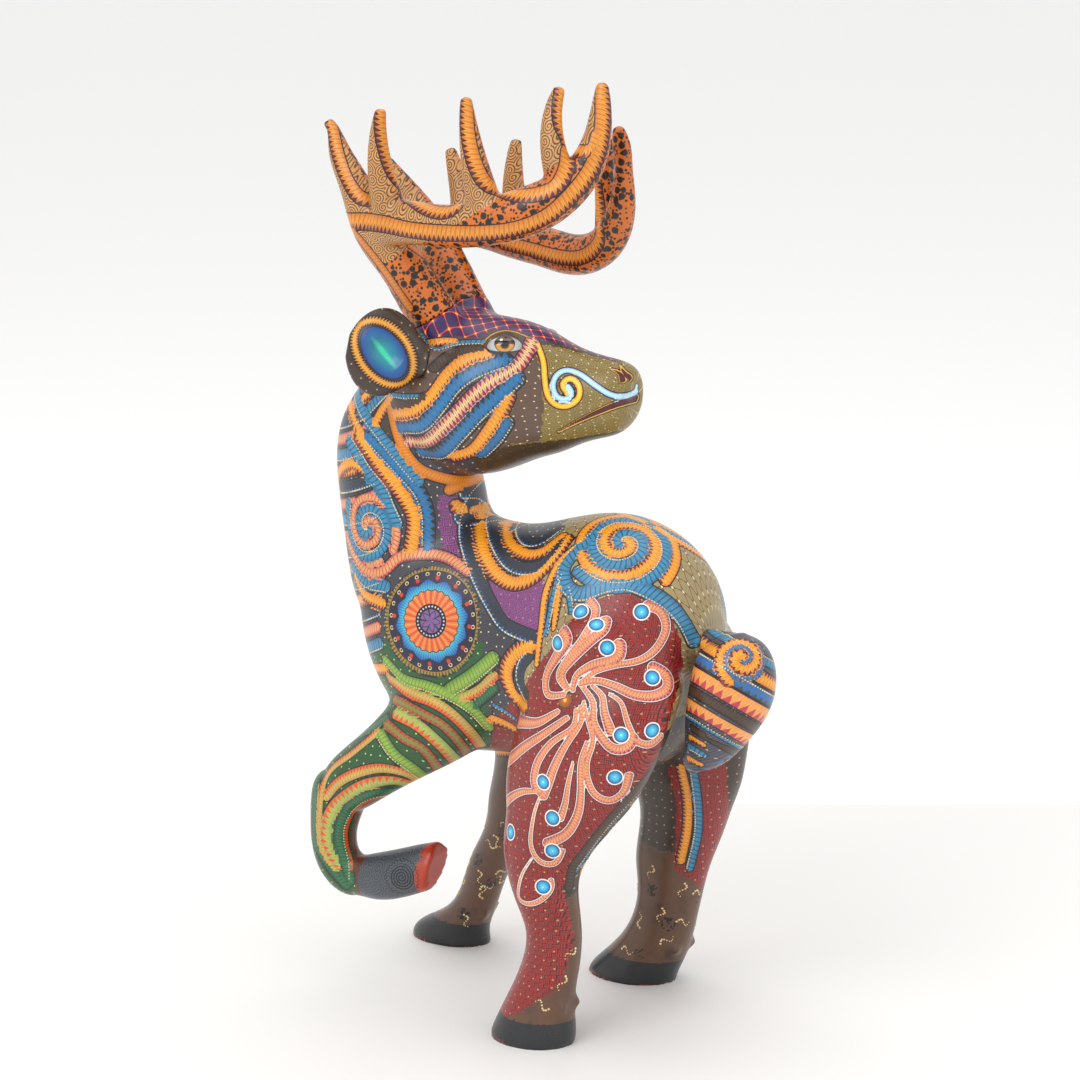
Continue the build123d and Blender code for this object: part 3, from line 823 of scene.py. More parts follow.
def lay_strokes(co, normals, strokes):
    """For each vertex: run and offset along the nearest stroke, its half width, kind and edge."""
    count = len(co)
    edge = np.full(count, 99.0)
    band = np.zeros((count, 3))
    band[:, 2] = 1.0
    kind = np.zeros(count)
    rank = np.full(count, 99.0)
    for made in strokes:
        lift = made.get("lift", 0.0)
        for first in range(0, max(len(made["line"]) - 1, 1), 30):
            run = slice(first, first + 31)
            line, width = made["line"][run], made["width"][run]
            margin = width.max() + 9.0
            low, high = line.min(0) - margin, line.max(0) + margin
            close = np.nonzero(((co > low) & (co < high)).all(1))[0]
            if not len(close):
                continue
            away = co[close][:, None, :] - line[None, :, :]
            far = np.sqrt((away**2).sum(2)) - width[None, :]
            nearest = far.argmin(1)
            rest = away[np.arange(len(close)), nearest]
            nearest = nearest + first
            heading = made["heading"][nearest]
            forward = (rest * heading).sum(1)
            inner = np.abs(forward) < 1.5
            square = (rest**2).sum(1) - np.where(inner, forward**2, 0)
            offset = np.sqrt(np.clip(square, 0, None))
            sideways = np.cross(heading, made["normal"][nearest])
            sign = np.where((rest * sideways).sum(1) < 0, -1.0, 1.0)
            facing = (made["normal"][nearest] * normals[close]).sum(1) > -0.2
            reach = offset - made["width"][nearest]
            order = reach - (ON_TOP + lift) * (reach < 0)
            better = (order < rank[close]) & facing
            chosen = close[better]
            rank[chosen] = order[better]
            edge[chosen] = reach[better]
            band[chosen, 0] = made["at"][nearest][better] + forward[better]
            band[chosen, 1] = (sign * offset)[better]
            band[chosen, 2] = made["width"][nearest][better]
            kind[chosen] = made["kind"]
    return edge, band, kind


def lay_spots(co, spots):
    """For each vertex: the way from the nearest round spot, its radius and kind."""
    away = np.full(len(co), 99.0)
    spot = np.zeros((len(co), 3))
    spot[:, 0] = 99.0
    for middle, radius, kind in spots:
        reach = np.linalg.norm(co - middle, axis=1)
        better = reach - radius < away
        away[better] = (reach - radius)[better]
        spot[better, 0] = reach[better]
        spot[better, 1] = radius
        spot[better, 2] = kind
    return spot


def inside(outline, u, v):
    """Which places lie inside a closed outline on the drawing."""
    points = np.array(outline, float)
    result = np.zeros(len(u), bool)
    for (x0, y0), (x1, y1) in zip(points, np.roll(points, -1, 0)):
        crosses = (y0 > v) != (y1 > v)
        with np.errstate(divide="ignore", invalid="ignore"):
            at = x0 + (v - y0) * (x1 - x0) / (y1 - y0)
        result ^= crosses & (u < at)
    return result


def on_drawing(co):
    """Across and up on the drawing, as seen from the standpoint."""
    rest = co - STANDPOINT
    depth = -(rest @ TOWARD_VIEWER)
    return (rest @ ACROSS) * VIEW_DISTANCE / depth, (rest @ UPWARD) * VIEW_DISTANCE / depth


def store(mesh, name, values, domain="POINT"):
    values = np.asarray(values, np.float32)
    form = "FLOAT_VECTOR" if values.ndim == 2 else "FLOAT"
    made = mesh.attributes.new(name, form, domain)
    made.data.foreach_set("vector" if values.ndim == 2 else "value", values.ravel())


def first_corner(mesh):
    """The first vertex of each face, by which a face takes its kinds."""
    start = np.empty(len(mesh.polygons), np.int32)
    mesh.polygons.foreach_get("loop_start", start)
    corner = np.empty(len(mesh.loops), np.int32)
    mesh.loops.foreach_get("vertex_index", corner)
    return corner[start]


# ---------------------------------------------------------------- colours
def paint(code):
    """A linear colour from its usual six-figure code."""
    parts = [int(code[i : i + 2], 16) / 255 for i in (0, 2, 4)]
    return tuple(p / 12.92 if p <= 0.04045 else ((p + 0.055) / 1.055) ** 2.4 for p in parts)


# centre, edge, tooth, (pitch, reach from one side, reach from the other),
# (ribs, dots, outline in millimetres), outline
STROKES = {
    "none": ("000000", "000000", "000000", (3.0, 0, 0), (0, 0, 0), "000000"),
    "orange_teeth": ("FFB42E", "E5841C", "6E1A3A", (3.0, 0.42, 0.12), (0.35, 0, 0.5), "1A1210"),
    "blue_ladder": ("3C9CC6", "226E96", "4A3226", (3.4, 0.0, 0.0), (0.95, 0.6, 0.5), "14181C"),
    "dusk_ladder": ("34302E", "3A3432", "2E78AC", (3.6, 0.40, 0.0), (0.1, 1.0, 0.5), "14110F"),
    "pink_ribs": ("EFAE6E", "D8687A", "8E2A4C", (2.8, 0.30, 0.20), (0.8, 0, 0.5), "1A1210"),
    "cream_ribs": ("F6D79C", "E9A25E", "96275A", (3.2, 0.52, 0.46), (0.5, 0, 0.5), "1A1210"),
    "blue_stars": ("2B83B8", "1F6390", "33302F", (4.4, 0.36, 0.36), (0.25, 0.5, 0.5), "14181C"),
    "brown_ribs": ("5C4536", "4A372B", "2A1E18", (2.6, 0.0, 0.25), (0.75, 0, 0.5), "17110E"),
    "green_ribs": ("A2BF4E", "3E7F3E", "1E5530", (2.8, 0.30, 0.0), (0.6, 0.6, 0.5), "10180F"),
    "deep_green": ("3F8258", "1F5A3E", "123A28", (2.6, 0.35, 0.0), (0.7, 0, 0.5), "0D140F"),
    "ember_ribs": ("C9C06A", "8FA04A", "DA4A16", (2.7, 0.55, 0.0), (0.75, 0, 0.5), "10180F"),
    "ember_edge": ("E2641C", "B9401A", "3A1A12", (2.2, 0.3, 0.0), (0.5, 1.0, 0.3), "1A0F0C"),
    "lozenges": ("7F9A52", "5C7A40", "B83A16", (3.6, 0.46, 0.46), (0.5, 0, 0.5), "10180F"),
    "green_teeth": ("A9CC72", "6FA254", "E2601E", (4.6, 0.62, 0.0), (0.45, 0, 0.5), "10180F"),
    "saw": ("F0A436", "D07A22", "64161E", (3.4, 0.46, 0.0), (0.45, 0, 0.5), "1A0F0C"),
    "plain_orange": ("E29438", "BC6A24", "8A3A1C", (2.4, 0.2, 0.0), (0.4, 0, 0.4), "1A0F0C"),
    "orange_ticks": ("F4A322", "D88420", "2A1A14", (2.6, 0.40, 0.0), (0.3, 0.8, 0.5), "1A1210"),
    "collar": ("EE9A1E", "B8640F", "7A3A10", (2.2, 0.12, 0.12), (0.35, 0, 0.5), "1A1210"),
    "arm": ("F2B27A", "C9506C", "A8305C", (2.1, 0.40, 0.0), (0.7, 0.25, 0.75), "E9E2DC"),
    "glow_orange": ("FFE04A", "E8320E", "E8320E", (3.0, 0, 0), (0, 0, 0.45), "140C0A"),
    "glow_blue": ("D4F6FF", "0F6FB8", "0F6FB8", (3.0, 0, 0), (0, 0, 0.45), "0A1016"),
    "mouth": ("64141C", "3A0C12", "3A0C12", (3.0, 0, 0), (0, 0, 0.8), "E2B24E"),
    "lid": ("D9A040", "6A4A1C", "6A4A1C", (3.0, 0, 0), (0, 0, 0.2), "17100C"),
    "line": ("0E0C0B", "0E0C0B", "0E0C0B", (3.0, 0, 0), (0, 0, 0), "0E0C0B"),
    "key_ring": ("F2B040", "B86A1A", "2A160E", (1.9, 0.48, 0.30), (0.2, 0, 0.4), "140D0A"),
    "blue_zigzag": ("2E86C0", "2468A0", "6A5444", (3.6, 0.55, 0.45), (0.3, 0.4, 0.5), "14181C"),
    "peach_teeth": ("F3B25E", "EDA24C", "C2485A", (6.4, 0.0, 0.62), (0.15, 0, 0.5), "1A1210"),
    "blue_dots": ("2A7CBC", "2468A4", "5A4A40", (5.6, 0.0, 0.40), (0.25, 1.0, 0.5), "14181C"),
}
# ground, mark, dot, (weave, lattice, fret), (dots, swirls, leopard), (hatch, mottle, glow)
GROUNDS = {
    "bark": ("4A3A2E", "2A2018", "E9D6A8", (0, 0, 0), (0.5, 0, 0), (0.8, 0.3, 0)),
    "red_weave": ("B4302A", "3E1414", "E6C48A", (1, 0, 0), (0.6, 0, 0), (0, 0.25, 0)),
    "khaki_lattice": ("A89A6C", "7A2E20", "F0E4C4", (0, 1, 0), (0, 0, 0), (0.2, 0.2, 0)),
    "purple_fret": ("5A2258", "B06AA8", "F0D8E0", (0, 0, 1), (0.3, 0, 0), (0, 0.2, 0)),
    "green_weave": ("2E6A34", "12351E", "D6E48A", (0.5, 0, 0), (1, 0, 0), (0.4, 0.2, 0)),
    "leg_brown": ("6E4E38", "33251D", "E8D0A0", (0, 0, 0), (0, 0.0, 0), (0.15, 1, 0)),
    "hoof_grey": ("5E646C", "17181A", "8A9098", (0, 0, 0), (0, 0.7, 0), (0, 0.5, 0)),
    "muzzle_gold": ("A08C4E", "5A4A26", "F2E6BE", (0, 0, 0), (1, 0.8, 0), (0, 0.3, 0)),
    "crown_indigo": ("2C2466", "F0502A", "FFC46A", (0, 1, 0.08), (0, 0, 0), (0, 0.1, 1)),
    "mauve": ("6E5648", "4A3830", "F2E0BE", (0, 0, 0), (1, 0, 0), (0.15, 0.35, 0)),
    "antler_tan": ("D2A064", "4E2812", "E2C090", (0, 0, 0), (0, 1, 0), (0, 0.15, 0)),
    "leopard": ("D2761C", "1C1614", "E0A050", (0, 0, 0), (0, 0, 1), (0, 0.1, 0)),
    "ear_cream": ("B8A87A", "7A6A44", "E8DCB0", (0, 0, 0), (0, 0.6, 0), (0.5, 0.2, 0)),
    "jaw_dark": ("57462C", "2A2014", "D8C490", (0, 0, 0), (0.2, 0.6, 0), (0.3, 0.3, 0)),
    "sole_ember": ("B8401C", "7A2410", "E8803A", (0, 0, 0), (0, 0, 0), (0.2, 0.4, 0)),
    "navy": ("2A2444", "1C1830", "E8D8B0", (0, 0, 0), (0, 0, 0), (0, 0.3, 0)),
    "hoof_dark": ("2C2F34", "0C0D0F", "5A6068", (0, 0, 0), (0, 0.5, 0), (0, 0.9, 0)),
    "raw_brown": ("6A3E2C", "4A281C", "8A5A40", (0, 0, 0), (0, 0, 0), (0.2, 0.5, 0)),
    "dusk": ("4A423E", "2E6E9C", "E8DCB8", (0, 0, 0), (0.9, 0, 0), (0.5, 0.3, 0)),
    "tail_brown": ("5A4438", "2F7CB4", "F0E0B8", (0, 0, 0), (0.6, 0, 0), (1, 0.2, 0)),
}
STROKE_NUMBER = {name: number for number, name in enumerate(STROKES)}
GROUND_NUMBER = {name: number for number, name in enumerate(GROUNDS)}
SHELVES = 32  # places on a palette


# ---------------------------------------------------------------- sums on a material's wires
class Wire:
    """A number on its way through a material."""

    def __init__(self, tree, socket):
        self.tree = tree
        self.socket = socket

    def sum(self, operation, *others):
        node = self.tree.nodes.new("ShaderNodeMath")
        node.operation = operation
        for place, value in enumerate((self, *others)):
            if isinstance(value, Wire):
                self.tree.links.new(value.socket, node.inputs[place])
            else:
                node.inputs[place].default_value = value
        return Wire(self.tree, node.outputs[0])

    def __add__(self, other):
        return self.sum("ADD", other)

    def __sub__(self, other):
        return self.sum("SUBTRACT", other)

    def __mul__(self, other):
        return self.sum("MULTIPLY", other)

    def __truediv__(self, other):
        return self.sum("DIVIDE", other)

    def __lt__(self, other):
        return self.sum("LESS_THAN", other)

    def __gt__(self, other):
        return self.sum("GREATER_THAN", other)

    def flipped(self):
        return self.sum("MULTIPLY_ADD", -1.0, 1.0)

    def size(self):
        return self.sum("ABSOLUTE")

    def part(self):
        return self.sum("FRACT")

    def whole(self):
        return self.sum("FLOOR")

    def least(self, other):
        return self.sum("MINIMUM", other)

    def most(self, other):
        return self.sum("MAXIMUM", other)

    def to_middle(self):
        """Distance from the middle of each unit step, 0 to a half."""
        return (self.part() - 0.5).size()

    def under(self, limit, soft=0.05):
        """1 below a limit and 0 above it, with a brushed edge."""
        gap = (self * -1.0 + limit) if not isinstance(limit, Wire) else (limit - self)
        return (gap / soft + 0.5).sum("MAXIMUM", 0.0).sum("MINIMUM", 1.0)

    def length(self, other):
        return (self * self + other * other).sum("SQRT")


def node_in(tree, kind, **sockets):
    node = tree.nodes.new(kind)
    for name, value in sockets.items():
        node.inputs[name].default_value = value
    return node


def attribute(tree, name):
    node = tree.nodes.new("ShaderNodeAttribute")
    node.attribute_name = name
    return node


def three(tree, socket):
    """The three numbers of a vector or a colour."""
    node = tree.nodes.new("ShaderNodeSeparateXYZ")
    tree.links.new(socket, node.inputs[0])
    return [Wire(tree, out) for out in node.outputs]


def mixed(tree, share, below, above, way="MIX"):
    """A colour between two, each a socket or a fixed colour."""
    node = tree.nodes.new("ShaderNodeMix")
    node.data_type = "RGBA"
    node.blend_type = way
    for place, value in ((0, share), (6, below), (7, above)):
        if isinstance(value, Wire):
            tree.links.new(value.socket, node.inputs[place])
        elif isinstance(value, bpy.types.NodeSocket):
            tree.links.new(value, node.inputs[place])
        elif isinstance(value, tuple):
            node.inputs[place].default_value = (*value, 1.0)
        else:
            node.inputs[place].default_value = value
    return node.outputs[2]


def palette(tree, number, colours):
    """One fixed colour for each kind."""
    ramp = tree.nodes.new("ShaderNodeValToRGB")
    ramp.color_ramp.interpolation = "CONSTANT"
    stops = ramp.color_ramp.elements
    for place, colour in enumerate(colours):
        stop = stops[place] if place < 2 else stops.new(place / SHELVES)
        stop.position = place / SHELVES
        stop.color = (*colour, 1.0)
    tree.links.new(((number + 0.5) / SHELVES).socket, ramp.inputs[0])
    return ramp.outputs[0]


def noise(tree, socket, scale, detail=3.0):
    node = node_in(tree, "ShaderNodeTexNoise", Scale=scale, Detail=detail)
    tree.links.new(socket, node.inputs["Vector"])
    return Wire(tree, node.outputs["Fac"])


def cells(tree, socket, scale, randomness):
    node = node_in(tree, "ShaderNodeTexVoronoi", Scale=scale, Randomness=randomness)
    node.voronoi_dimensions = "2D"
    tree.links.new(socket, node.inputs["Vector"])
    return node


def solid_spots(tree, place, scale, reach):
    """Round spots scattered through the wood, so that they don't stretch on a curve."""
    node = node_in(tree, "ShaderNodeTexVoronoi", Scale=scale, Randomness=0.75)
    tree.links.new(place, node.inputs["Vector"])
    return Wire(tree, node.outputs["Distance"]).under(reach, 0.08)


def stroke_paint(tree, colour, height, object_place):
    """The ornament of every stroke, laid over a colour."""
    s, t, w = three(tree, attribute(tree, "stroke").outputs["Vector"])
    edge = Wire(tree, attribute(tree, "stroke_edge").outputs["Fac"])
    number = Wire(tree, attribute(tree, "stroke_kind").outputs["Fac"])
    rows = list(STROKES.values())
    centre = palette(tree, number, [paint(r[0]) for r in rows])
    rim = palette(tree, number, [paint(r[1]) for r in rows])
    tooth = palette(tree, number, [paint(r[2]) for r in rows])
    outline = palette(tree, number, [paint(r[5]) for r in rows])
    pitch, reach, counter = three(
        tree, palette(tree, number, [(r[3][0] / 10, r[3][1], r[3][2]) for r in rows])
    )
    ribs, dots, line = three(tree, palette(tree, number, [r[4] for r in rows]))
    q = t / w
    out = q.size()
    wobble = noise(tree, object_place, 500.0, 2.0) - 0.5
    steps = (s + t * 0.30 + wobble * 0.5) / (pitch * 10.0)
    tri = steps.to_middle() * 2.0
    upper = ((q * -1.0 + 1.0) * 0.5).under(reach * tri.flipped(), 0.06)
    lower = ((q + 1.0) * 0.5).under(counter * tri.flipped(), 0.06)
    teeth = upper.most(lower)
    fill = mixed(tree, out.sum("POWER", 1.8), centre, rim)
    rib = (steps * 1.0 + 0.5).to_middle().under(0.13, 0.08) * ribs
    fine = (steps * 3.0).to_middle().under(0.16, 0.10) * 0.28
    fill = mixed(tree, fine.most(rib * 0.8), fill, tooth)
    fill = mixed(tree, teeth, fill, tooth)
    bead = ((s / 2.3).part() - 0.5) * 2.3
    beads = bead.length((q - 0.72) * w).under(0.52, 0.15) * dots
    fill = mixed(tree, beads, fill, paint("F4E2B0"))
    lining = (edge * -1.0).under(line, 0.16)
    fill = mixed(tree, lining, fill, outline)
    on = edge.under(0.0, 0.12)
    painted = mixed(tree, on, colour, fill)
    around = edge.size().under(0.26, 0.16) * (edge < 6.0) * (line > 0.02)
    painted = mixed(tree, around, painted, paint("120E0C"))
    raised = on * (beads * 0.8 + lining * 0.4 + teeth * 0.2 + 0.3)
    return painted, height * on.flipped() + raised


def ground_paint(tree, object_place):
    """What lies between the strokes: weave, lattice, fret, dots, swirls or spots."""
    u, v, _ = three(tree, attribute(tree, "ground").outputs["Vector"])
    number = Wire(tree, attribute(tree, "ground_kind").outputs["Fac"])
    rows = list(GROUNDS.values())
    base = palette(tree, number, [paint(r[0]) for r in rows])
    mark = palette(tree, number, [paint(r[1]) for r in rows])
    dot = palette(tree, number, [paint(r[2]) for r in rows])
    weave, lattice, fret = three(tree, palette(tree, number, [r[3] for r in rows]))
    dots, swirls, leopard = three(tree, palette(tree, number, [r[4] for r in rows]))
    hatch, mottle, glow = three(tree, palette(tree, number, [r[5] for r in rows]))
    flat = tree.nodes.new("ShaderNodeCombineXYZ")
    tree.links.new(u.socket, flat.inputs[0])
    tree.links.new(v.socket, flat.inputs[1])
    flat = flat.outputs[0]
    # basket weave: strands that change direction from cell to cell
    parity = (((u / 2.9).whole() + (v / 2.9).whole()) * 0.5).part() > 0.25
    strand = (u * parity + v * parity.flipped()) / 0.97
    cross = (v * parity + u * parity.flipped()) / 2.9
    crossing = cross.to_middle().flipped().under(0.56, 0.05)
    strands = strand.to_middle().under(0.19, 0.12).most(crossing)
    marks = strands * weave
    # diagonal lattice whose lines swell towards their crossings
    x, y = (u + v) / 9.5, (u - v) / 9.5
    from_x = x.to_middle().sum("MULTIPLY_ADD", -1.0, 0.5)
    from_y = y.to_middle().sum("MULTIPLY_ADD", -1.0, 0.5)
    nearness = from_x.length(from_y)
    thick = (nearness * -0.16 + 0.09).most(0.028)
    lines = from_x.least(from_y).under(thick, 0.03)
    marks = marks.most(lines * lattice)
    # square coils
    fx, fy = (u / 5.2).part() - 0.5, (v / 5.2).part() - 0.5
    turn = fy.sum("ARCTAN2", fx) / (2 * math.pi)
    coils = (fx.size().most(fy.size()) * 6.0 + turn).to_middle().under(0.2, 0.1)
    marks = marks.most(coils * fret)
    # small round coils packed side by side
    packed = cells(tree, flat, 0.125, 0.5)
    place_x, place_y, _ = three(tree, packed.outputs["Position"])
    rx, ry = u - place_x, v - place_y
    turned = ry.sum("ARCTAN2", rx) / (2 * math.pi)
    round_coil = (rx.length(ry) / 1.7 - turned).to_middle().under(0.2, 0.12)
    marks = marks.most(round_coil * swirls * 0.85)
    # spots of two sizes
    large = solid_spots(tree, object_place, 175.0, 0.40)
    small = solid_spots(tree, object_place, 400.0, 0.36)
    marks = marks.most(large.most(small) * leopard)
    hatching = ((u * 0.5 + v) / 1.7).to_middle().under(0.16, 0.14)
    marks = marks.most(hatching * hatch * 0.6)
    stains = noise(tree, object_place, 60.0, 4.0)
    marks = marks.most((stains - 0.56) * 6.0 * mottle * 0.55).sum("MINIMUM", 1.0)
    colour = mixed(tree, marks, base, mark)
    beads = Wire(tree, cells(tree, flat, 0.155, 0.35).outputs["Distance"]).under(0.085, 0.03)
    colour = mixed(tree, beads * dots, colour, dot)
    stars = nearness.under(0.10, 0.05) * lattice
    colour = mixed(tree, stars, colour, dot)
    return colour, marks * 0.25 + beads * dots


def round_paint(tree, colour, height):
    """The round ornaments: disc of petals, ear, hoof coil and whirl's heart."""
    x, y, _ = three(tree, attribute(tree, "disc").outputs["Vector"])
    kind = Wire(tree, attribute(tree, "disc_kind").outputs["Fac"])
    r = x.length(y)
    turn = y.sum("ARCTAN2", x) / (2 * math.pi)
    petal = (turn * 12.0).to_middle() * 2.0
    wedge = (turn * 24.0).to_middle() * 2.0
    disc = mixed(tree, r.under(33.0, 0.3), paint("B08A3A"), paint("262040"))
    ticks = (turn * 90.0).to_middle().under(0.2, 0.1) * (r > 33.4)
    disc = mixed(tree, ticks, disc, paint("2E5A34"))
    curls = ((turn * 24.0 + 0.5).to_middle() * 8.0).length(r - 30.6)
    curls = (curls - 1.1).size().under(0.28, 0.15)
    disc = mixed(tree, curls * (r > 29.6), disc, paint("E6D2A0"))
    petals = r.under((petal * -3.2) + 27.2, 0.4)
    blue = mixed(tree, ((r - 19.0) / 8.0), paint("58D4E4"), paint("1A55B4"))
    fan = (turn * 84.0).to_middle().under(0.16, 0.1) * 0.5
    disc = mixed(tree, petals, disc, mixed(tree, fan, blue, paint("0E2A66")))
    red = ((turn * 12.0 + 0.5).part() - 0.5) * 16.0
    red = red.length(r - 28.0).under(1.5, 0.3)
    disc = mixed(tree, red, disc, paint("D0402A"))
    coral = mixed(tree, wedge, paint("E2502E"), paint("F2A85A"))
    coral = mixed(tree, (turn * 96.0).to_middle().under(0.14, 0.1) * 0.4, coral, paint("8A2A1C"))
    disc = mixed(tree, r.under(wedge * 1.1 + 19.6, 0.3), disc, paint("141020"))
    disc = mixed(tree, r.under(wedge * 1.1 + 19.0, 0.3), disc, coral)
    disc = mixed(tree, r.under(11.2, 0.3), disc, paint("17121E"))
    pearls = (((turn * 26.0).part() - 0.5) * 2.35).length(r - 9.5).under(0.62, 0.15)
    disc = mixed(tree, pearls, disc, paint("D8CCDC"))
    star = (turn * 5.0).to_middle() * 2.0
    points = (r - star * 4.0 - 3.0).size().under(0.35, 0.2)
    violet = mixed(tree, points, paint("8A6A9E"), paint("2A1A36"))
    violet = mixed(tree, (turn * 5.0).to_middle().under(0.06, 0.04), violet, paint("2A1A36"))
    disc = mixed(tree, r.under(7.6, 0.2), disc, violet)
    is_disc = (kind - 1.0).size() < 0.5
    colour = mixed(tree, is_disc, colour, disc)
    # the coil on the lifted hoof
    coil_line = (r / 1.9 - turn).to_middle().under(0.24, 0.1) * r.under(9.0, 0.3)
    frill = (r - 11.2 - (turn * 26.0).to_middle() * 2.6).size().under(0.35, 0.2) * (r > 9.8)
    is_coil = (kind - 2.0).size() < 0.5
    colour = mixed(tree, coil_line.most(frill * 0.8) * is_coil, colour, paint("121212"))
    # inside of an ear: x and y run from -1 to 1 over the bowl
    bowl = mixed(tree, r.sum("POWER", 0.8), paint("23B8A8"), paint("0E3C9E"))
    streak = (y * 3.2).length(x * 0.9).under(0.42, 0.4)
    bowl = mixed(tree, streak * 0.8, bowl, paint("4FE0B4"))
    bowl = mixed(tree, r.under(0.92, 0.02), paint("10121A"), bowl)
    is_bowl = ((kind - 3.0).size() < 0.5) * (r < 0.96)
    colour = mixed(tree, is_bowl, colour, bowl)
    # the whirl's heart
    heart = mixed(tree, (r / 4.4), paint("FF5A1E"), paint("7A6A2A"))
    heart = mixed(tree, r.under(1.2, 0.8), heart, paint("FFD25A"))
    is_heart = ((kind - 4.0).size() < 0.5) * (r < 4.6)
    colour = mixed(tree, is_heart, colour, heart)
    off = kind > 0.5
    return colour, height * (off * is_coil.flipped()).flipped()


def stone_paint(tree, colour, height):
    """Blue stones with a white setting and a near-white painted highlight in the middle of each."""
    away, radius, kind = three(tree, attribute(tree, "stone").outputs["Vector"])
    share = away / radius
    stone = mixed(tree, share.sum("POWER", 1.6), paint("5CD8F6"), paint("0C4C9C"))
    # painted highlight: the near-white middle of each stone
    stone = mixed(tree, share.under(0.16, 0.12), stone, paint("D8FAFF"))
    stone = mixed(tree, (share - 0.92).under(0.0, 0.04).flipped(), stone, paint("081830"))
    colour = mixed(tree, (away - radius).under(0.9, 0.15), colour, paint("F2EEEA"))
    on = (away - radius).under(0.0, 0.12)
    return mixed(tree, on, colour, stone), height * on.flipped() + on * 0.8


def painted_wood(name, gloss):
    """The lacquered paint of one piece, with its own gloss."""
    base = bpy.data.materials.get(PAINTED_BASE) or mixed_paint()
    material = base.copy()
    material.name = name
    for node in material.node_tree.nodes:
        if node.type == "BSDF_PRINCIPLED":
            node.inputs["Coat Weight"].default_value = gloss
    return material


PAINTED_BASE = "painted_copal"
ROUGHNESS = 0.40
DEPTH = 1.16  # how far the lacquer deepens the paint under it


def mixed_paint():
    """The whole painted finish, built once and copied for each piece."""
    material = bpy.data.materials.new(PAINTED_BASE)
    material.use_nodes = True
    tree = material.node_tree
    tree.nodes.clear()
    where = tree.nodes.new("ShaderNodeTexCoord").outputs["Object"]
    colour, height = ground_paint(tree, where)
    colour, height = round_paint(tree, colour, height)
    colour, height = stroke_paint(tree, colour, height, where)
    colour, height = stone_paint(tree, colour, height)
    brush = noise(tree, where, 900.0, 3.0)
    broad = noise(tree, where, 45.0, 3.0)
    tone = brush * 0.35 + broad * 0.35 + 0.66
    shade = tree.nodes.new("ShaderNodeCombineColor")
    for socket in shade.inputs[:3]:
        tree.links.new(tone.socket, socket)
    colour = mixed(tree, 1.0, colour, shade.outputs[0], "MULTIPLY")
    deep = node_in(tree, "ShaderNodeGamma", Gamma=DEPTH)
    tree.links.new(colour, deep.inputs["Color"])
    colour = deep.outputs[0]
    bump = node_in(tree, "ShaderNodeBump", Strength=0.35, Distance=0.0004)
    tree.links.new((height + brush * 0.25).socket, bump.inputs["Height"])
    shader = tree.nodes.new("ShaderNodeBsdfPrincipled")
    tree.links.new(colour, shader.inputs["Base Color"])
    tree.links.new((brush * 0.16 + (ROUGHNESS - 0.08)).socket, shader.inputs["Roughness"])
    tree.links.new(bump.outputs[0], shader.inputs["Normal"])
    shader.inputs["Coat Weight"].default_value = 0.35
    shader.inputs["Coat Roughness"].default_value = 0.22
    out = tree.nodes.new("ShaderNodeOutputMaterial")
    tree.links.new(shader.outputs[0], out.inputs[0])
    return material


# ---------------------------------------------------------------- the figure
BLOCKS = (
    "torso",
    "neck",
    "head",
    "left_hindleg",
    "right_hindleg",
    "left_foreleg",
    "right_foreleg",
)
DOWELS = ("neck_dowels", "head_dowels", "leg_dowels")
EYES = ("right_eye", "left_eye")
MANDALA = (-70.0, -52.0)
NECK_COIL = (-110.0, 8.5)
RUMP_COIL = (53.5, -1.5)
WHIRL_HEART = (16.0, -102.5)
EYE_SIGHT = (-22.6, 126.0)


def tree_of(mesh):
    co, _ = mesh_arrays(mesh)
    corners = [tuple(p.vertices) for p in mesh.polygons]
    return BVHTree.FromPolygons([tuple(c) for c in co * MM], corners)


FULLNESS = 1.18  # how far the painter fills each stroke beyond its drawn width
SLIM = ("glow_orange", "glow_blue", "mouth", "lid", "line")


def drawn_lines(tree, lines, behind=False):
    made = []
    for name, half_width, layout in lines:
        if name not in SLIM:
            half_width *= FULLNESS
        taper = (1.0, 1.0)
        if name == "mouth":
            taper = (0.35, 1.1)
        if name == "arm":
            taper = (0.55, 1.15)
        made.append(drawn(tree, STROKE_NUMBER[name], half_width, layout, behind, taper))
    return made


def figure_strokes(tree):
    number = STROKE_NUMBER
    body = drawn_lines(tree, NECK_LINES) + drawn_lines(tree, BACK_LINES)
    body += drawn_lines(tree, WHIRL_LINES) + drawn_lines(tree, NAPE_LINES)
    head = drawn_lines(tree, HEAD_LINES)
    left = sighted(tree, *NECK_COIL)
    body.append(coil(tree, left, number["pink_ribs"], 3.4, 15.0, 1.5, 2.6, 2.0, -1.0))
    body.append(coil(tree, left, number["blue_ladder"], 3.7, 15.0, 1.5, 2.6 + math.pi, 2.0, -1.0))
    rump = sighted(tree, *RUMP_COIL)
    body.append(coil(tree, rump, number["orange_teeth"], 4.2, 17.5, 2.2, 0.6, 2.0, -1.0))
    body.append(coil(tree, rump, number["blue_ladder"], 4.2, 17.5, 2.0, 0.6 + math.pi, 2.0, -1.0))
    both = body + [mirrored(tree, made, 0.0) for made in body]
    both += head + [mirrored(tree, made, placed((0, 1.0, 0))[1]) for made in head]
    both += drawn_lines(tree, LIFTED_LINES) + garlands(tree) + leg_coils(tree)
    return [made for made in both if made]


GARLANDS = ("orange_teeth", "blue_ladder", "pink_ribs", "dusk_ladder")
GARLAND_COUNT = 17
LOWEST_GARLAND = 214.0
GARLAND_STEP = 10.5
UNDERNEATH = -30.0  # a stroke that any other may cover
GARLAND_REACH = math.radians(62)


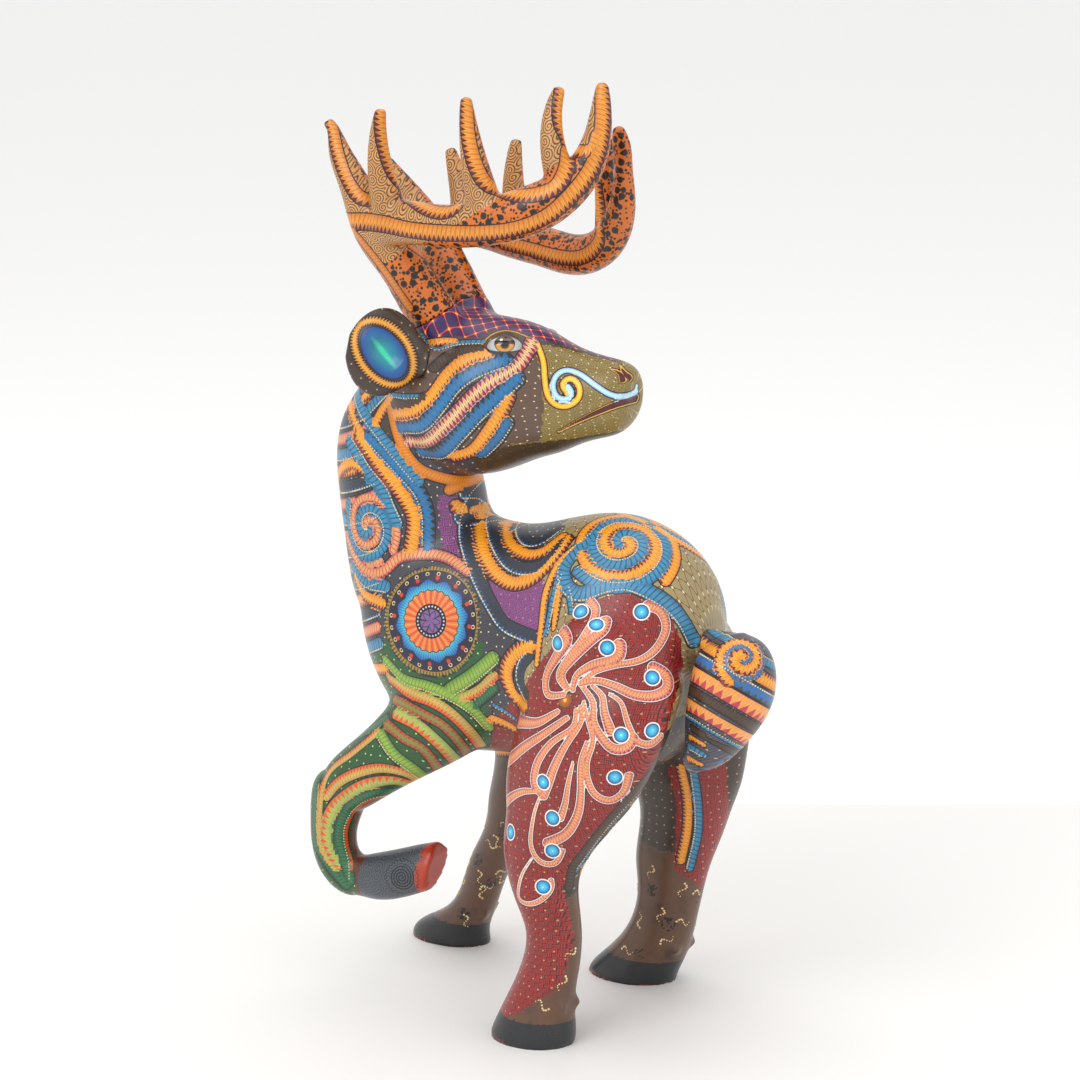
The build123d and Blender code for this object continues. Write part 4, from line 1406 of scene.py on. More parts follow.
def garlands(tree):
    """Strokes that hang round the chest and the front of the neck from side to side."""
    made = []
    for turn in range(GARLAND_COUNT):
        level = LOWEST_GARLAND + GARLAND_STEP * turn
        reach = GARLAND_REACH * (1.0 - 0.42 * turn / (GARLAND_COUNT - 1))
        places, faces = [], []
        for k in range(33):
            angle = reach * (k / 16 - 1)
            rise = 16.0 * (angle / reach) ** 2
            if turn == 0:
                rise *= 0.6
            at = placed((60 + 110 * math.cos(angle), 110 * math.sin(angle), level + rise))
            way = unit(placed((60, 0, level + rise)) - at)
            hit, normal, _, _ = tree.ray_cast(Vector(at * MM), Vector(way))
            if hit is not None:
                places.append(np.array(hit) / MM)
                faces.append(np.array(normal))
        if len(places) > 20:
            kind = STROKE_NUMBER[GARLANDS[turn % len(GARLANDS)]]
            made.append(stroke(kind, 4.4, places, faces))
            made[-1]["lift"] = UNDERNEATH
    return made


SHANKS = ("left_hindleg", "right_hindleg", "right_foreleg")
COILS_ON_A_SHANK = 9
TRAILS_ON_A_SHANK = 26
BEADS_IN_A_TRAIL = 9


def shank_places(tree, count, seed, low=22.0, high=98.0):
    """Places spread round the lower legs, with the way that the wood faces."""
    chance = np.random.RandomState(seed)
    found = []
    for leg in SHANKS:
        heart = placed(HEARTS[leg])
        for k in range(count):
            turn = 2 * math.pi * (k * 0.618 + chance.rand() * 0.2)
            rise = low + (high - low) * ((k + chance.rand()) / count)
            at = np.array((heart[0] + 30 * math.cos(turn), heart[1] + 30 * math.sin(turn), rise))
            hit, normal = on_surface(tree, at)
            if abs(normal[2]) < 0.6 and brown_shank(hit, normal):
                found.append((hit, normal, chance.rand()))
    return found


def brown_shank(hit, normal):
    ground = figure_grounds(np.array([hit]), np.array([normal]))[0]
    return ground == GROUND_NUMBER["leg_brown"]


def way_round(luck):
    return 1.0 if luck < 0.5 else -1.0


def leg_coils(tree):
    """Thin black coils on the bare brown of the lower legs."""
    thin = STROKE_NUMBER["line"]
    return [
        coil(tree, (hit, normal), thin, 0.42, 1.9, 2.0 + luck, 6.0 * luck, 0.5, way_round(luck))
        for hit, normal, luck in shank_places(tree, COILS_ON_A_SHANK, 4)
    ]


def leg_trails(tree):
    """Beads in short waving trails on the lower legs, each smaller than the one before."""
    beads = []
    for hit, normal, luck in shank_places(tree, TRAILS_ON_A_SHANK, 9, 20.0, 112.0):
        side = unit(np.cross(normal, (0, 0, 1)))
        up = np.cross(side, normal)
        turn = 2 * math.pi * luck
        along = math.cos(turn) * side + math.sin(turn) * up
        across = np.cross(normal, along)
        for k in range(BEADS_IN_A_TRAIL):
            share = k / (BEADS_IN_A_TRAIL - 1)
            at = hit + along * (share * 10.0) + across * 2.2 * math.sin(2 * math.pi * share)
            place, way = on_surface(tree, at)
            beads.append((place, way, 0.95 - 0.5 * share))
    return beads


BEAD_STEP = 2  # millimetres from bead to bead


def beads_along(tree, strokes):
    """Raised beads beside the edge of each stroke that carries them."""
    rows = list(STROKES.values())
    beads = []
    for made in strokes:
        if rows[made["kind"]][4][1] < 0.5:
            continue
        for k in range(1, len(made["line"]) - 1, BEAD_STEP):
            aside = np.cross(made["heading"][k], made["normal"][k])
            at = made["line"][k] + aside * made["width"][k] * 0.72
            place, way = on_surface(tree, at)
            if np.linalg.norm(place - at) < 1.5:
                beads.append((place, way, 0.55))
    return beads


def bead_nodes():
    """Geometry Nodes that set a small raised bead of paint on every point of a mesh."""
    tree = bpy.data.node_groups.new("raised_beads", "GeometryNodeTree")
    face = tree.interface

    def named(name, kind, way="INPUT"):
        return face.new_socket(name, in_out=way, socket_type="NodeSocket" + kind)

    named("Geometry", "Geometry")
    swell = named("Bead radius", "Float")
    flat = named("Bead height share", "Float")
    finish = named("Bead paint", "Material")
    named("Geometry", "Geometry", "OUTPUT")
    add, link = tree.nodes.new, tree.links.new
    given, result = add("NodeGroupInput"), add("NodeGroupOutput")
    ball = add("GeometryNodeMeshIcoSphere")
    ball.inputs["Radius"].default_value = 1.0
    ball.inputs["Subdivisions"].default_value = 1
    faces = add("GeometryNodeInputNamedAttribute")
    faces.data_type = "FLOAT_VECTOR"
    faces.inputs["Name"].default_value = "faces"
    sizes = add("GeometryNodeInputNamedAttribute")
    sizes.data_type = "FLOAT"
    sizes.inputs["Name"].default_value = "bead"
    turn = add("FunctionNodeAlignRotationToVector")
    turn.axis = "Z"
    link(faces.outputs["Attribute"], turn.inputs["Vector"])
    wide, tall = add("ShaderNodeMath"), add("ShaderNodeMath")
    wide.operation = tall.operation = "MULTIPLY"
    link(sizes.outputs["Attribute"], wide.inputs[0])
    link(given.outputs["Bead radius"], wide.inputs[1])
    link(wide.outputs[0], tall.inputs[0])
    link(given.outputs["Bead height share"], tall.inputs[1])
    scale = add("ShaderNodeCombineXYZ")
    link(wide.outputs[0], scale.inputs[0])
    link(wide.outputs[0], scale.inputs[1])
    link(tall.outputs[0], scale.inputs[2])
    lay = add("GeometryNodeInstanceOnPoints")
    link(given.outputs["Geometry"], lay.inputs["Points"])
    link(ball.outputs["Mesh"], lay.inputs["Instance"])
    link(turn.outputs[0], lay.inputs["Rotation"])
    link(scale.outputs[0], lay.inputs["Scale"])
    real = add("GeometryNodeRealizeInstances")
    link(lay.outputs[0], real.inputs[0])
    dress = add("GeometryNodeSetMaterial")
    link(real.outputs[0], dress.inputs["Geometry"])
    link(given.outputs["Bead paint"], dress.inputs["Material"])
    link(dress.outputs[0], result.inputs[0])
    return tree, swell.identifier, flat.identifier, finish.identifier


BEAD_RADIUS = 1.0 * MM  # of a bead whose own size is 1
BEAD_HEIGHT_SHARE = 0.55


def build_beads(name, body, beads):
    """One plain mesh of all the raised beads on a body."""
    points = bpy.data.meshes.new(name + "_points")
    points.from_pydata([tuple(place * MM) for place, _, _ in beads], [], [])
    store(points, "faces", [way for _, way, _ in beads])
    store(points, "bead", [size for _, _, size in beads])
    maker = bpy.data.objects.new(name + "_maker", points)
    bpy.context.scene.collection.objects.link(maker)
    modifier = maker.modifiers.new("beads", "NODES")
    modifier.node_group, swell, flat, finish = BEADS
    modifier[swell] = BEAD_RADIUS
    modifier[flat] = BEAD_HEIGHT_SHARE
    modifier[finish] = BEAD_PAINT
    seen = maker.evaluated_get(bpy.context.evaluated_depsgraph_get())
    mesh = bpy.data.meshes.new_from_object(seen)
    maker.modifiers.clear()
    bpy.data.objects.remove(maker)
    mesh.name = name
    mesh.polygons.foreach_set("use_smooth", [True] * len(mesh.polygons))
    piece = bpy.data.objects.new(name, mesh)
    bpy.context.scene.collection.objects.link(piece)
    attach(piece, body)


def bead_material():
    material = bpy.data.materials.new("bead_paint")
    material.use_nodes = True
    tree = material.node_tree
    shader = tree.nodes["Principled BSDF"]
    where = tree.nodes.new("ShaderNodeTexCoord").outputs["Object"]
    drift = noise(tree, where, 160.0, 2.0)
    tint = mixed(tree, (drift - 0.35) * 2.2, paint("F6E6B4"), paint("E8B860"))
    tree.links.new(tint, shader.inputs["Base Color"])
    tree.links.new((drift * 0.2 + 0.25).socket, shader.inputs["Roughness"])
    return material


def ground_places(co):
    """Even coordinates over each form, in millimetres, by rolling it out."""
    own = co - SHIFT
    x, y, z = own.T
    roll = np.arctan2(y, z - 246.0) * 72.0
    uv = np.stack([x, roll, np.zeros(len(x))], 1)
    head = (z > 372) | ((z > 340) & (x < 60))
    head_roll = np.arctan2(y - 2.0, z - 404.0) * 44.0
    uv[head, 0], uv[head, 1] = x[head], head_roll[head]
    neck = ~head & (z > 262) & (x > 40)
    turn = np.arctan2(y, 92.0 - x) * 46.0
    uv[neck, 0], uv[neck, 1] = turn[neck], z[neck]
    legs = ~head & ~neck & ((z < 175) | (np.abs(y) > 52))
    uv[legs, 0], uv[legs, 1] = (x - 0.35 * np.abs(y))[legs], z[legs]
    return uv


NECK_FRET = ((-66, 30), (-30, 24), (-36, 10), (-48, -24), (-62, -14))
SIDE_FRET = ((-34, -18), (2, -14), (4, -60), (-8, -62), (-30, -44))
FAR_THIGH_OUTLINE = ((82, -146), (118, -130), (122, -190), (104, -222), (86, -210), (88, -170))


def figure_grounds(co, normals):
    """Which ground each place on the figure is painted with."""
    number = GROUND_NUMBER
    own = co - SHIFT
    x, y, z = own.T
    near = (normals @ TOWARD_VIEWER) > -0.05
    across, up = on_drawing(co)
    # the far side takes the drawing turned over the figure's length
    turned = (own * (1, -1, 1)) + SHIFT
    far_across, far_up = on_drawing(turned)
    u = np.where(near, across, far_across)
    v = np.where(near, up, far_up)
    ground = np.full(len(co), number["dusk"], float)
    rump = (x < -20) & (z > 215)
    ground[rump] = number["khaki_lattice"]
    ground[(x < -20) & (z <= 215)] = number["bark"]
    neck = (x > 20) & (z > 255) & (z < 400)
    fret = neck & inside(NECK_FRET, u, v) | inside(SIDE_FRET, u, v) & (z < 330)
    ground[fret] = number["purple_fret"]
    thigh = inside(THIGH_OUTLINE + THIGH_FOOT, u, v) & (z < 300) & (x < 25)
    ground[thigh] = number["red_weave"]
    shank = (x < 60) & ~thigh
    ground[shank & (z < 150)] = number["bark"]
    ground[shank & (z < 100)] = number["leg_brown"]
    fore = (z < 160) & (y < -20) & (x > 10)
    ground[fore] = number["leg_brown"]
    flank = inside(FAR_THIGH_OUTLINE, across, up) & near & (x < 25) & (z < 215)
    ground[flank] = number["red_weave"]
    green = inside(GREEN_OUTLINE, across, up) & near & (z < 262) & (x > 10)
    lifted = (y > 8) & (z < 240) & (x > 40)
    ground[lifted] = number["green_weave"]
    ground[green] = number["green_weave"]
    hoof_paw = lifted & (z < 106) & (x < 124)
    ground[lifted & (z < 165) & (x < 128) & ~green] = number["raw_brown"]
    ground[hoof_paw & (x < 108)] = number["hoof_grey"]
    ground[hoof_paw & (x < 64)] = number["sole_ember"]
    hooves = (z < 17) & (np.abs(y) > 35)
    ground[hooves] = number["hoof_dark"]
    ground[(z < 1.0)] = number["sole_ember"]
    head = (z > 372) & (x < 112) | ((z > 345) & (x < 30))
    cheek = head & ~inside(CROWN_OUTLINE + ((130, 150), (-130, 170)), u, v)
    ground[head] = number["crown_indigo"]
    ground[cheek] = number["jaw_dark"]
    muzzle = head & inside(MUZZLE_OUTLINE, u, v)
    ground[muzzle] = number["muzzle_gold"]
    ground[head & inside(MAUVE_OUTLINE, u, v)] = number["mauve"]
    ground[head & inside(CHEEK_OUTLINE, u, v)] = number["mauve"]
    disc = np.linalg.norm(co - figure_marks["mandala"][0], axis=1) < 36
    ground[disc] = number["navy"]
    return ground


def local_places(co, place, normal, up=(0, 0, 1)):
    """Flat places round a mark, across and up, with the true distance kept."""
    side = unit(np.cross(up, normal))
    rise = np.cross(normal, side)
    rest = co - place
    x, y = rest @ side, rest @ rise
    flat = np.sqrt(x**2 + y**2) + 1e-6
    true = np.linalg.norm(rest, axis=1)
    return x / flat * true, y / flat * true, true


figure_marks = {}


# name, number in the material and how far each roundel reaches
ROUNDELS = (("mandala", 1, 35.2), ("hoof", 2, 15.0), ("heart", 4, 6.0))
GEM_RADIUS = 4.6
BACK_OF_HIND_LEG = 25.0  # gems lie behind this place along the body


def paint_figure(mesh, tree):
    co, _ = mesh_arrays(mesh)
    normals = normals_of(mesh)
    figure_marks["mandala"] = sighted(tree, *MANDALA)
    figure_marks["heart"] = sighted(tree, *WHIRL_HEART)
    figure_marks["hoof"] = sighted(tree, -88.6, -216.0)
    strokes = figure_strokes(tree)
    edge, band, kind = lay_strokes(co, normals, strokes)
    cut = (kind == STROKE_NUMBER["mouth"]) & (edge < 0)
    co = co - (cut * np.clip(-edge, 0, 1.2))[:, None] * normals
    set_places(mesh, co)
    disc = np.full((len(co), 3), 99.0)
    disc_kind = np.zeros(len(co))
    for name, number, reach in ROUNDELS:
        place, normal = figure_marks[name]
        sides = [(place, normal)]
        if name != "hoof":
            flip = np.array((1, -1, 1))
            sides.append((place * flip, normal * flip))
        for middle, way in sides:
            x, y, true = local_places(co, middle, way)
            close = true < reach + 4.0
            disc[close, 0], disc[close, 1] = x[close], y[close]
            within = true < reach
            disc_kind[within] = number
            if name == "mandala":
                edge = np.where(true < reach, np.maximum(edge, reach - true), edge)
    stones = []
    for u, v in GEM_PLACES:
        place, _ = sighted(tree, u, v)
        if place[0] > placed((BACK_OF_HIND_LEG, 0, 0))[0]:
            continue
        stones.append((place, GEM_RADIUS, 1))
        other = on_surface(tree, place * (1, -1, 1))[0]
        if np.linalg.norm(other - place * (1, -1, 1)) < STRAY:
            stones.append((other, GEM_RADIUS, 1))
    faces = first_corner(mesh)
    ground = figure_grounds(co, normals)
    store(mesh, "stroke", band)
    store(mesh, "stroke_edge", edge)
    store(mesh, "stroke_kind", kind[faces], "FACE")
    store(mesh, "ground", ground_places(co))
    store(mesh, "ground_kind", ground[faces], "FACE")
    store(mesh, "disc", disc)
    store(mesh, "disc_kind", disc_kind[faces], "FACE")
    store(mesh, "stone", lay_spots(co, stones))
    return strokes


def plain_attributes(mesh, co, uv, ground, strokes=(), disc=None, disc_kind=None):
    edge, band, kind = lay_strokes(co, normals_of(mesh), strokes)
    faces = first_corner(mesh)
    store(mesh, "stroke", band)
    store(mesh, "stroke_edge", edge)
    store(mesh, "stroke_kind", kind[faces], "FACE")
    store(mesh, "ground", uv)
    store(mesh, "ground_kind", ground[faces], "FACE")
    store(mesh, "disc", np.full((len(co), 3), 99.0) if disc is None else disc)
    kinds = np.zeros(len(faces)) if disc_kind is None else disc_kind[faces]
    store(mesh, "disc_kind", kinds, "FACE")
    store(mesh, "stone", lay_spots(co, ()))


def build_figure():
    skin = one_skin(BLOCKS + DOWELS + EYES, 1.6)
    soften(skin, 80, 8, lambda co: near_seat(co, SEATS))
    carve_figure(skin)
    part_of, centres = cut_apart(skin)
    tree = tree_of(skin)
    strokes = paint_figure(skin, tree)
    beads = beads_along(tree, strokes) + leg_trails(tree)
    build_beads("figure_beads", "figure", beads)
    for name, piece in separated(skin, part_of, centres).items():
        piece.data.materials.append(painted_wood(name + "_lacquer", 0.35))
        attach(piece, "figure")
        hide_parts(name)
    return tree, strokes


HOOF_HEIGHT = 17.0
CLEFT_HALF_WIDTH = 2.2
CLEFT_DEPTH = 2.6
CLAW_HEIGHT = 27.0
CLAW_SPREAD = 8.0  # from the middle of the leg to each claw
CLAW_RADIUS = 4.0
CLAW_SWELL = 3.2
WRIST = (108.0, 45.0, 92.0)
PAW_LENGTH = 44.0
PAW_RADIUS = 14.0
SOLE_SLANT = 8.0
SOLE_FLARE = 0.16


def carve_figure(skin):
    """Small cuts of the knife: flat soles, hoof clefts, the small claws behind and the slanting
    sole of the lifted hoof.
    """
    co, _ = mesh_arrays(skin)
    co[:, 2] = np.where(co[:, 2] < 0.9, 0.0, co[:, 2])
    normals = normals_of(skin)
    for leg in SHANKS:
        heart = placed(HEARTS[leg])
        near = np.abs(co[:, 1] - heart[1]) < 34
        near &= np.abs(co[:, 0] - heart[0]) < 60
        hoof = near & (co[:, 2] < HOOF_HEIGHT)
        middle = (co[hoof].min(0) + co[hoof].max(0)) / 2
        # the cleft between the two toes
        off = np.abs(co[:, 1] - middle[1])
        front = hoof & (off < CLEFT_HALF_WIDTH) & (co[:, 0] > middle[0] + 4) & (co[:, 2] > 0.5)
        co[front] -= (CLEFT_DEPTH * (1 - off[front] / CLEFT_HALF_WIDTH))[:, None] * normals[front]
        # the two small claws behind
        back = co[hoof][:, 0].min()
        for side in (-1, 1):
            claw = np.array((back + 3.0, middle[1] + side * CLAW_SPREAD, CLAW_HEIGHT))
            away = np.linalg.norm(co - on_nearest(co[near], claw), axis=1)
            co += (CLAW_SWELL * np.exp(-((away / CLAW_RADIUS) ** 2)))[:, None] * normals
    # the lifted hoof widens to a slanting sole
    x, y, z = (co - SHIFT).T
    forth = WRIST[0] - x
    paw = (forth > 0) & (x > 40) & (y > 8) & (z > 60) & (z < 112)
    share = np.where(paw, np.clip(forth / PAW_LENGTH, 0, 1), 0.0)
    rest = co[:, 2] - co[paw][:, 2].mean()
    co += (SOLE_SLANT * share * np.clip(rest / PAW_RADIUS, -1, 1))[:, None] * ACROSS
    co[:, 2] += SOLE_FLARE * share * rest
    set_places(skin, co)


def on_nearest(co, place):
    return co[np.linalg.norm(co - place, axis=1).argmin()]


# ---------------------------------------------------------------- antlers, ears, tail and eyes
def peg_and_piece(node, voxel, fill_rounds, even_rounds, seat, lean):
    """The skin of a piece on a peg, with its peg and flat foot kept as they were cut."""
    skin = one_skin((node,), voxel)
    lean = unit(lean)

    def held(co):
        above = (co - placed(seat)) @ lean
        return np.clip((3.0 - above) / 3.0, 0, 1)

    soften(skin, fill_rounds, even_rounds, held)
    return skin


def put(skin, name, material, body, node):
    mesh = skin
    mesh.name = name
    mesh.polygons.foreach_set("use_smooth", [True] * len(mesh.polygons))
    piece = bpy.data.objects.new(name, mesh)
    bpy.context.scene.collection.objects.link(piece)
    mesh.materials.append(material)
    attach(piece, body)
    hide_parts(node)
    return piece


ANTLER_SWELL = 1.5  # paint and ground coats round out the thin wood
ANTLER_FULLNESS = 1.15


def build_antlers():
    for node, seat, lean, lines in (
        ("right_antler", RIGHT_ANTLER_SEAT, (0.49, 0.21, 0.85), NEAR_ANTLER_LINES),
        ("left_antler", LEFT_ANTLER_SEAT, (0.57, -0.30, 0.76), FAR_ANTLER_LINES),
    ):
        skin = peg_and_piece(node, 1.2, 200, 6, seat, lean)
        co, _ = mesh_arrays(skin)
        above = (co - placed(seat)) @ unit(lean)
        co += (ANTLER_SWELL * np.clip((above - 6.0) / 20.0, 0, 1))[:, None] * normals_of(skin)
        set_places(skin, co)
        tree = tree_of(skin)
        normals = normals_of(skin)
        wider = [(name, width * ANTLER_FULLNESS, way) for name, width, way in lines]
        strokes = drawn_lines(tree, wider) + drawn_lines(tree, wider, True)
        number = GROUND_NUMBER
        facing = normals @ unit((-0.3, 1.0, 0.0))
        ground = np.where(np.abs(facing) > 0.45, number["antler_tan"], number["leopard"])
        stem = (co - placed(seat)) @ unit(lean) < 46
        ground[stem] = number["leopard"]
        own = co - SHIFT
        uv = np.stack([own[:, 0], own[:, 2] + 0.6 * own[:, 1], np.zeros(len(co))], 1)
        plain_attributes(skin, co, uv, ground, strokes)
        lacquer = painted_wood(node + "_lacquer", 0.3)
        put(skin, node + "_carved", lacquer, node, node)


BOWL_OUT = 28.0  # from the ear's root to the middle of its bowl
BOWL_LONG = 20.0
BOWL_SHORT = 12.5
RING_HALF = 3.2


def build_ears():
    for node, seat, lean, face in (
        ("right_ear", RIGHT_EAR_SEAT, (0.80, 0.56, 0.20), (-0.59, 0.79, 0.15)),
        ("left_ear", LEFT_EAR_SEAT, (0.78, -0.62, -0.06), (-0.60, -0.78, 0.15)),
    ):
        skin = peg_and_piece(node, 1.0, 10, 4, seat, lean)
        co, _ = mesh_arrays(skin)
        normals = normals_of(skin)
        outward = unit(lean)
        facing = unit(np.array(face) - outward * np.dot(face, outward))
        height = np.cross(outward, facing)
        rest = co - placed(seat)
        # the bowl is an ellipse whose long axis runs from the tip's upper side to the lobe
        long_way = unit(outward * 0.75 + height * 0.66)
        short_way = np.cross(facing, long_way)
        from_middle = rest - outward * BOWL_OUT
        x = (from_middle @ long_way) / BOWL_LONG
        y = (from_middle @ short_way) / BOWL_SHORT
        inner = (normals @ facing) > 0.15
        r = np.sqrt(x**2 + y**2)
        disc = np.stack([x, y, np.zeros(len(co))], 1)
        disc_kind = np.where(inner & (r < 1.0), 3, 0)
        number = GROUND_NUMBER
        ground = np.where(inner, number["bark"], number["ear_cream"])
        uv = np.stack([rest @ outward, rest @ height, np.zeros(len(co))], 1)
        tree = tree_of(skin)
        places, faces = [], []
        for k in range(61):
            angle = 2 * math.pi * k / 60
            at = placed(seat) + outward * BOWL_OUT
            at = at + long_way * (BOWL_LONG + RING_HALF) * math.cos(angle)
            at = at + short_way * (BOWL_SHORT + RING_HALF) * math.sin(angle)
            hit, normal, _, _ = tree.ray_cast(Vector((at + facing * 40) * MM), Vector(-facing))
            if hit is not None:
                places.append(np.array(hit) / MM)
                faces.append(np.array(normal))
        strokes = [stroke(STROKE_NUMBER["key_ring"], RING_HALF, places, faces)]
        plain_attributes(skin, co, uv, ground, strokes, disc, disc_kind)
        put(skin, node + "_carved", painted_wood(node + "_lacquer", 0.35), node, node)


TAIL_COIL = (129.5, -75.0)
TAIL_FIRST_BAND = 8.0
TAIL_BANDS = (
    ("blue_ladder", 3.6, 8.0),
    ("orange_teeth", 4.6, -2.0),
    ("blue_dots", 4.2, -11.5),
    ("peach_teeth", 5.2, -21.5),
    ("brown_ribs", 3.6, -31.0),
    ("peach_teeth", 4.6, -39.5),
    ("blue_ladder", 1.6, -46.5),
    ("brown_ribs", 2.6, -51.0),
    ("orange_teeth", 2.4, -56.5),
    ("blue_ladder", 3.0, -62.0),
    ("orange_teeth", 3.0, -68.5),
)


def build_tail():
    skin = one_skin(("tail",), 1.2)
    soften(skin, 10, 6, lambda co: np.clip((co[:, 0] - placed(TAIL_SEAT)[0] + 4) / 3, 0, 1))
    co, _ = mesh_arrays(skin)
    tree = tree_of(skin)
    heart = sighted(tree, *TAIL_COIL)
    axis = unit(-0.50 * ACROSS - 0.86 * UPWARD)
    top = heart[0] - TOWARD_VIEWER * 22.0 + UPWARD * 6.0
    strokes = []
    for name, half_width, down in TAIL_BANDS:
        middle = top - axis * (down - TAIL_FIRST_BAND)
        strokes.append(ring(tree, middle, axis, STROKE_NUMBER[name], half_width))
    first = STROKE_NUMBER["orange_teeth"]
    second = STROKE_NUMBER["blue_zigzag"]
    strokes.append(coil(tree, heart, first, 3.6, 12.0, 1.5, 1.0, 1.0, 1.0, 9.0))
    strokes.append(coil(tree, heart, second, 2.6, 12.0, 1.45, 1.0 + math.pi, 1.0, 1.0, 8.0))
    strokes = [made for made in strokes if len(made["line"]) > 8]
    ground = np.full(len(co), GROUND_NUMBER["tail_brown"], float)
    own = co - top
    uv = np.stack([np.arctan2(own[:, 1], -own[:, 0]) * 22.0, own[:, 2], np.zeros(len(co))], 1)
    plain_attributes(skin, co, uv, ground, strokes)
    build_beads("tail_beads", "tail", beads_along(tree, strokes))
    put(skin, "tail_carved", painted_wood("tail_lacquer", 0.35), "tail", "tail")


def eye_material(name, gaze, middle):
    material = bpy.data.materials.new(name)
    material.use_nodes = True
    tree = material.node_tree
    tree.nodes.clear()
    where = tree.nodes.new("ShaderNodeTexCoord").outputs["Object"]
    offset = tree.nodes.new("ShaderNodeVectorMath")
    offset.operation = "SUBTRACT"
    tree.links.new(where, offset.inputs[0])
    offset.inputs[1].default_value = tuple(middle * MM)
    normal = tree.nodes.new("ShaderNodeVectorMath")
    normal.operation = "NORMALIZE"
    tree.links.new(offset.outputs[0], normal.inputs[0])

    def along(way):
        node = tree.nodes.new("ShaderNodeVectorMath")
        node.operation = "DOT_PRODUCT"
        tree.links.new(normal.outputs[0], node.inputs[0])
        node.inputs[1].default_value = tuple(way)
        return Wire(tree, node.outputs["Value"])

    side = unit(np.cross((0, 0, 1), gaze))
    rise = np.cross(gaze, side)
    x, y, z = along(side), along(rise), along(gaze)
    r = x.length(y) + (z < 0.0) * 2.0
    grain = noise(tree, where, 260.0, 4.0)
    angle = (y.sum("ARCTAN2", x) * 14.0).sum("SINE") * 0.04
    white = mixed(tree, (grain - 0.3), paint("C8CCD0"), paint("8E959C"))
    # painted shade: the white of the eye darkens to grey towards its corners
    white = mixed(tree, (r - 0.7) * 2.0, white, paint("5A5E64"))
    iris = mixed(tree, (r + angle) / 0.62, paint("5A3018"), paint("2A140C"))
    amber = (x.length(y + 0.12) - 0.40).size().under(0.13, 0.08) * (y < -0.08)
    iris = mixed(tree, amber, iris, paint("D8961E"))
    colour = mixed(tree, r.under(0.60, 0.03), white, paint("140C0A"))
    colour = mixed(tree, r.under(0.56, 0.03), colour, iris)
    colour = mixed(tree, r.under(0.25, 0.03), colour, paint("050404"))
    lash = x.length(y * 1.75).under(0.93, 0.03)
    colour = mixed(tree, lash, paint("0C0908"), colour)
    glint = (x + 0.20).length(y - 0.20).under(0.09, 0.04)
    colour = mixed(tree, glint, colour, paint("F4F6F8"))
    shader = tree.nodes.new("ShaderNodeBsdfPrincipled")
    tree.links.new(colour, shader.inputs["Base Color"])
    tree.links.new((grain * 0.05 + 0.10).socket, shader.inputs["Roughness"])
    shader.inputs["Coat Weight"].default_value = 1.0
    shader.inputs["Coat Roughness"].default_value = 0.05
    out = tree.nodes.new("ShaderNodeOutputMaterial")
    tree.links.new(shader.outputs[0], out.inputs[0])
    return material


# the shown part of an eye is wider than it is tall, between its carved lids
EYE_RADIUS = 9.5  # of the whole ball
EYE_WIDE = 12.5
EYE_TALL = 8.3
EYE_DEEP = 10.3


def build_eyes():
    aim = VIEW_TARGET + EYE_SIGHT[0] * ACROSS + EYE_SIGHT[1] * UPWARD
    way = unit(aim - STANDPOINT)
    middle = middle_of("right_eye")
    rest = STANDPOINT - middle
    b = np.dot(rest, way)
    gap = b * b - np.dot(rest, rest) + EYE_RADIUS**2
    hit = STANDPOINT + way * (-b - math.sqrt(max(gap, 0.0)))
    right_gaze = unit(hit - middle)
    left_gaze = right_gaze * (1, -1, 1)
    for node, gaze in (("right_eye", right_gaze), ("left_eye", left_gaze)):
        place = middle_of(node)
        side = unit(np.cross((0, 0, 1), gaze))
        rise = np.cross(gaze, side)
        made = bmesh.new()
        bmesh.ops.create_uvsphere(made, u_segments=64, v_segments=40, radius=1.0)
        for vert in made.verts:
            x, y, z = vert.co
            bulge = max(0.0, z - 0.86) * 4.0
            at = place + side * x * EYE_WIDE + rise * y * EYE_TALL + gaze * (z * EYE_DEEP + bulge)
            vert.co = Vector(at * MM)
        piece = finished(made, node + "_ball")
        piece.data.materials.append(eye_material(node + "_lacquer", gaze, place))
        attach(piece, "figure")
        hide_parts(node)


def dowel_material():
    material = bpy.data.materials.new("turned_copal")
    material.use_nodes = True
    tree = material.node_tree
    tree.nodes.clear()
    where = tree.nodes.new("ShaderNodeTexCoord").outputs["Object"]
    grain = noise(tree, where, 220.0, 6.0)
    colour = mixed(tree, grain, paint("C9A878"), paint("A37C4C"))
    bump = node_in(tree, "ShaderNodeBump", Strength=0.3, Distance=0.0003)
    tree.links.new(grain.socket, bump.inputs["Height"])
    shader = tree.nodes.new("ShaderNodeBsdfPrincipled")
    tree.links.new(colour, shader.inputs["Base Color"])
    tree.links.new((grain * 0.2 + 0.5).socket, shader.inputs["Roughness"])
    tree.links.new(bump.outputs[0], shader.inputs["Normal"])
    out = tree.nodes.new("ShaderNodeOutputMaterial")
    tree.links.new(shader.outputs[0], out.inputs[0])
    return material


# ---------------------------------------------------------------- stage, lights and camera
def plain_material(name, colour, roughness):
    material = bpy.data.materials.new(name)
    material.use_nodes = True
    tree = material.node_tree
    shader = tree.nodes["Principled BSDF"]
    where = tree.nodes.new("ShaderNodeTexCoord").outputs["Object"]
    cloud = noise(tree, where, 2.0, 2.0)
    tint = mixed(tree, cloud * 0.15, colour, tuple(c * 0.97 for c in colour))
    tree.links.new(tint, shader.inputs["Base Color"])
    shader.inputs["Roughness"].default_value = roughness
    return material


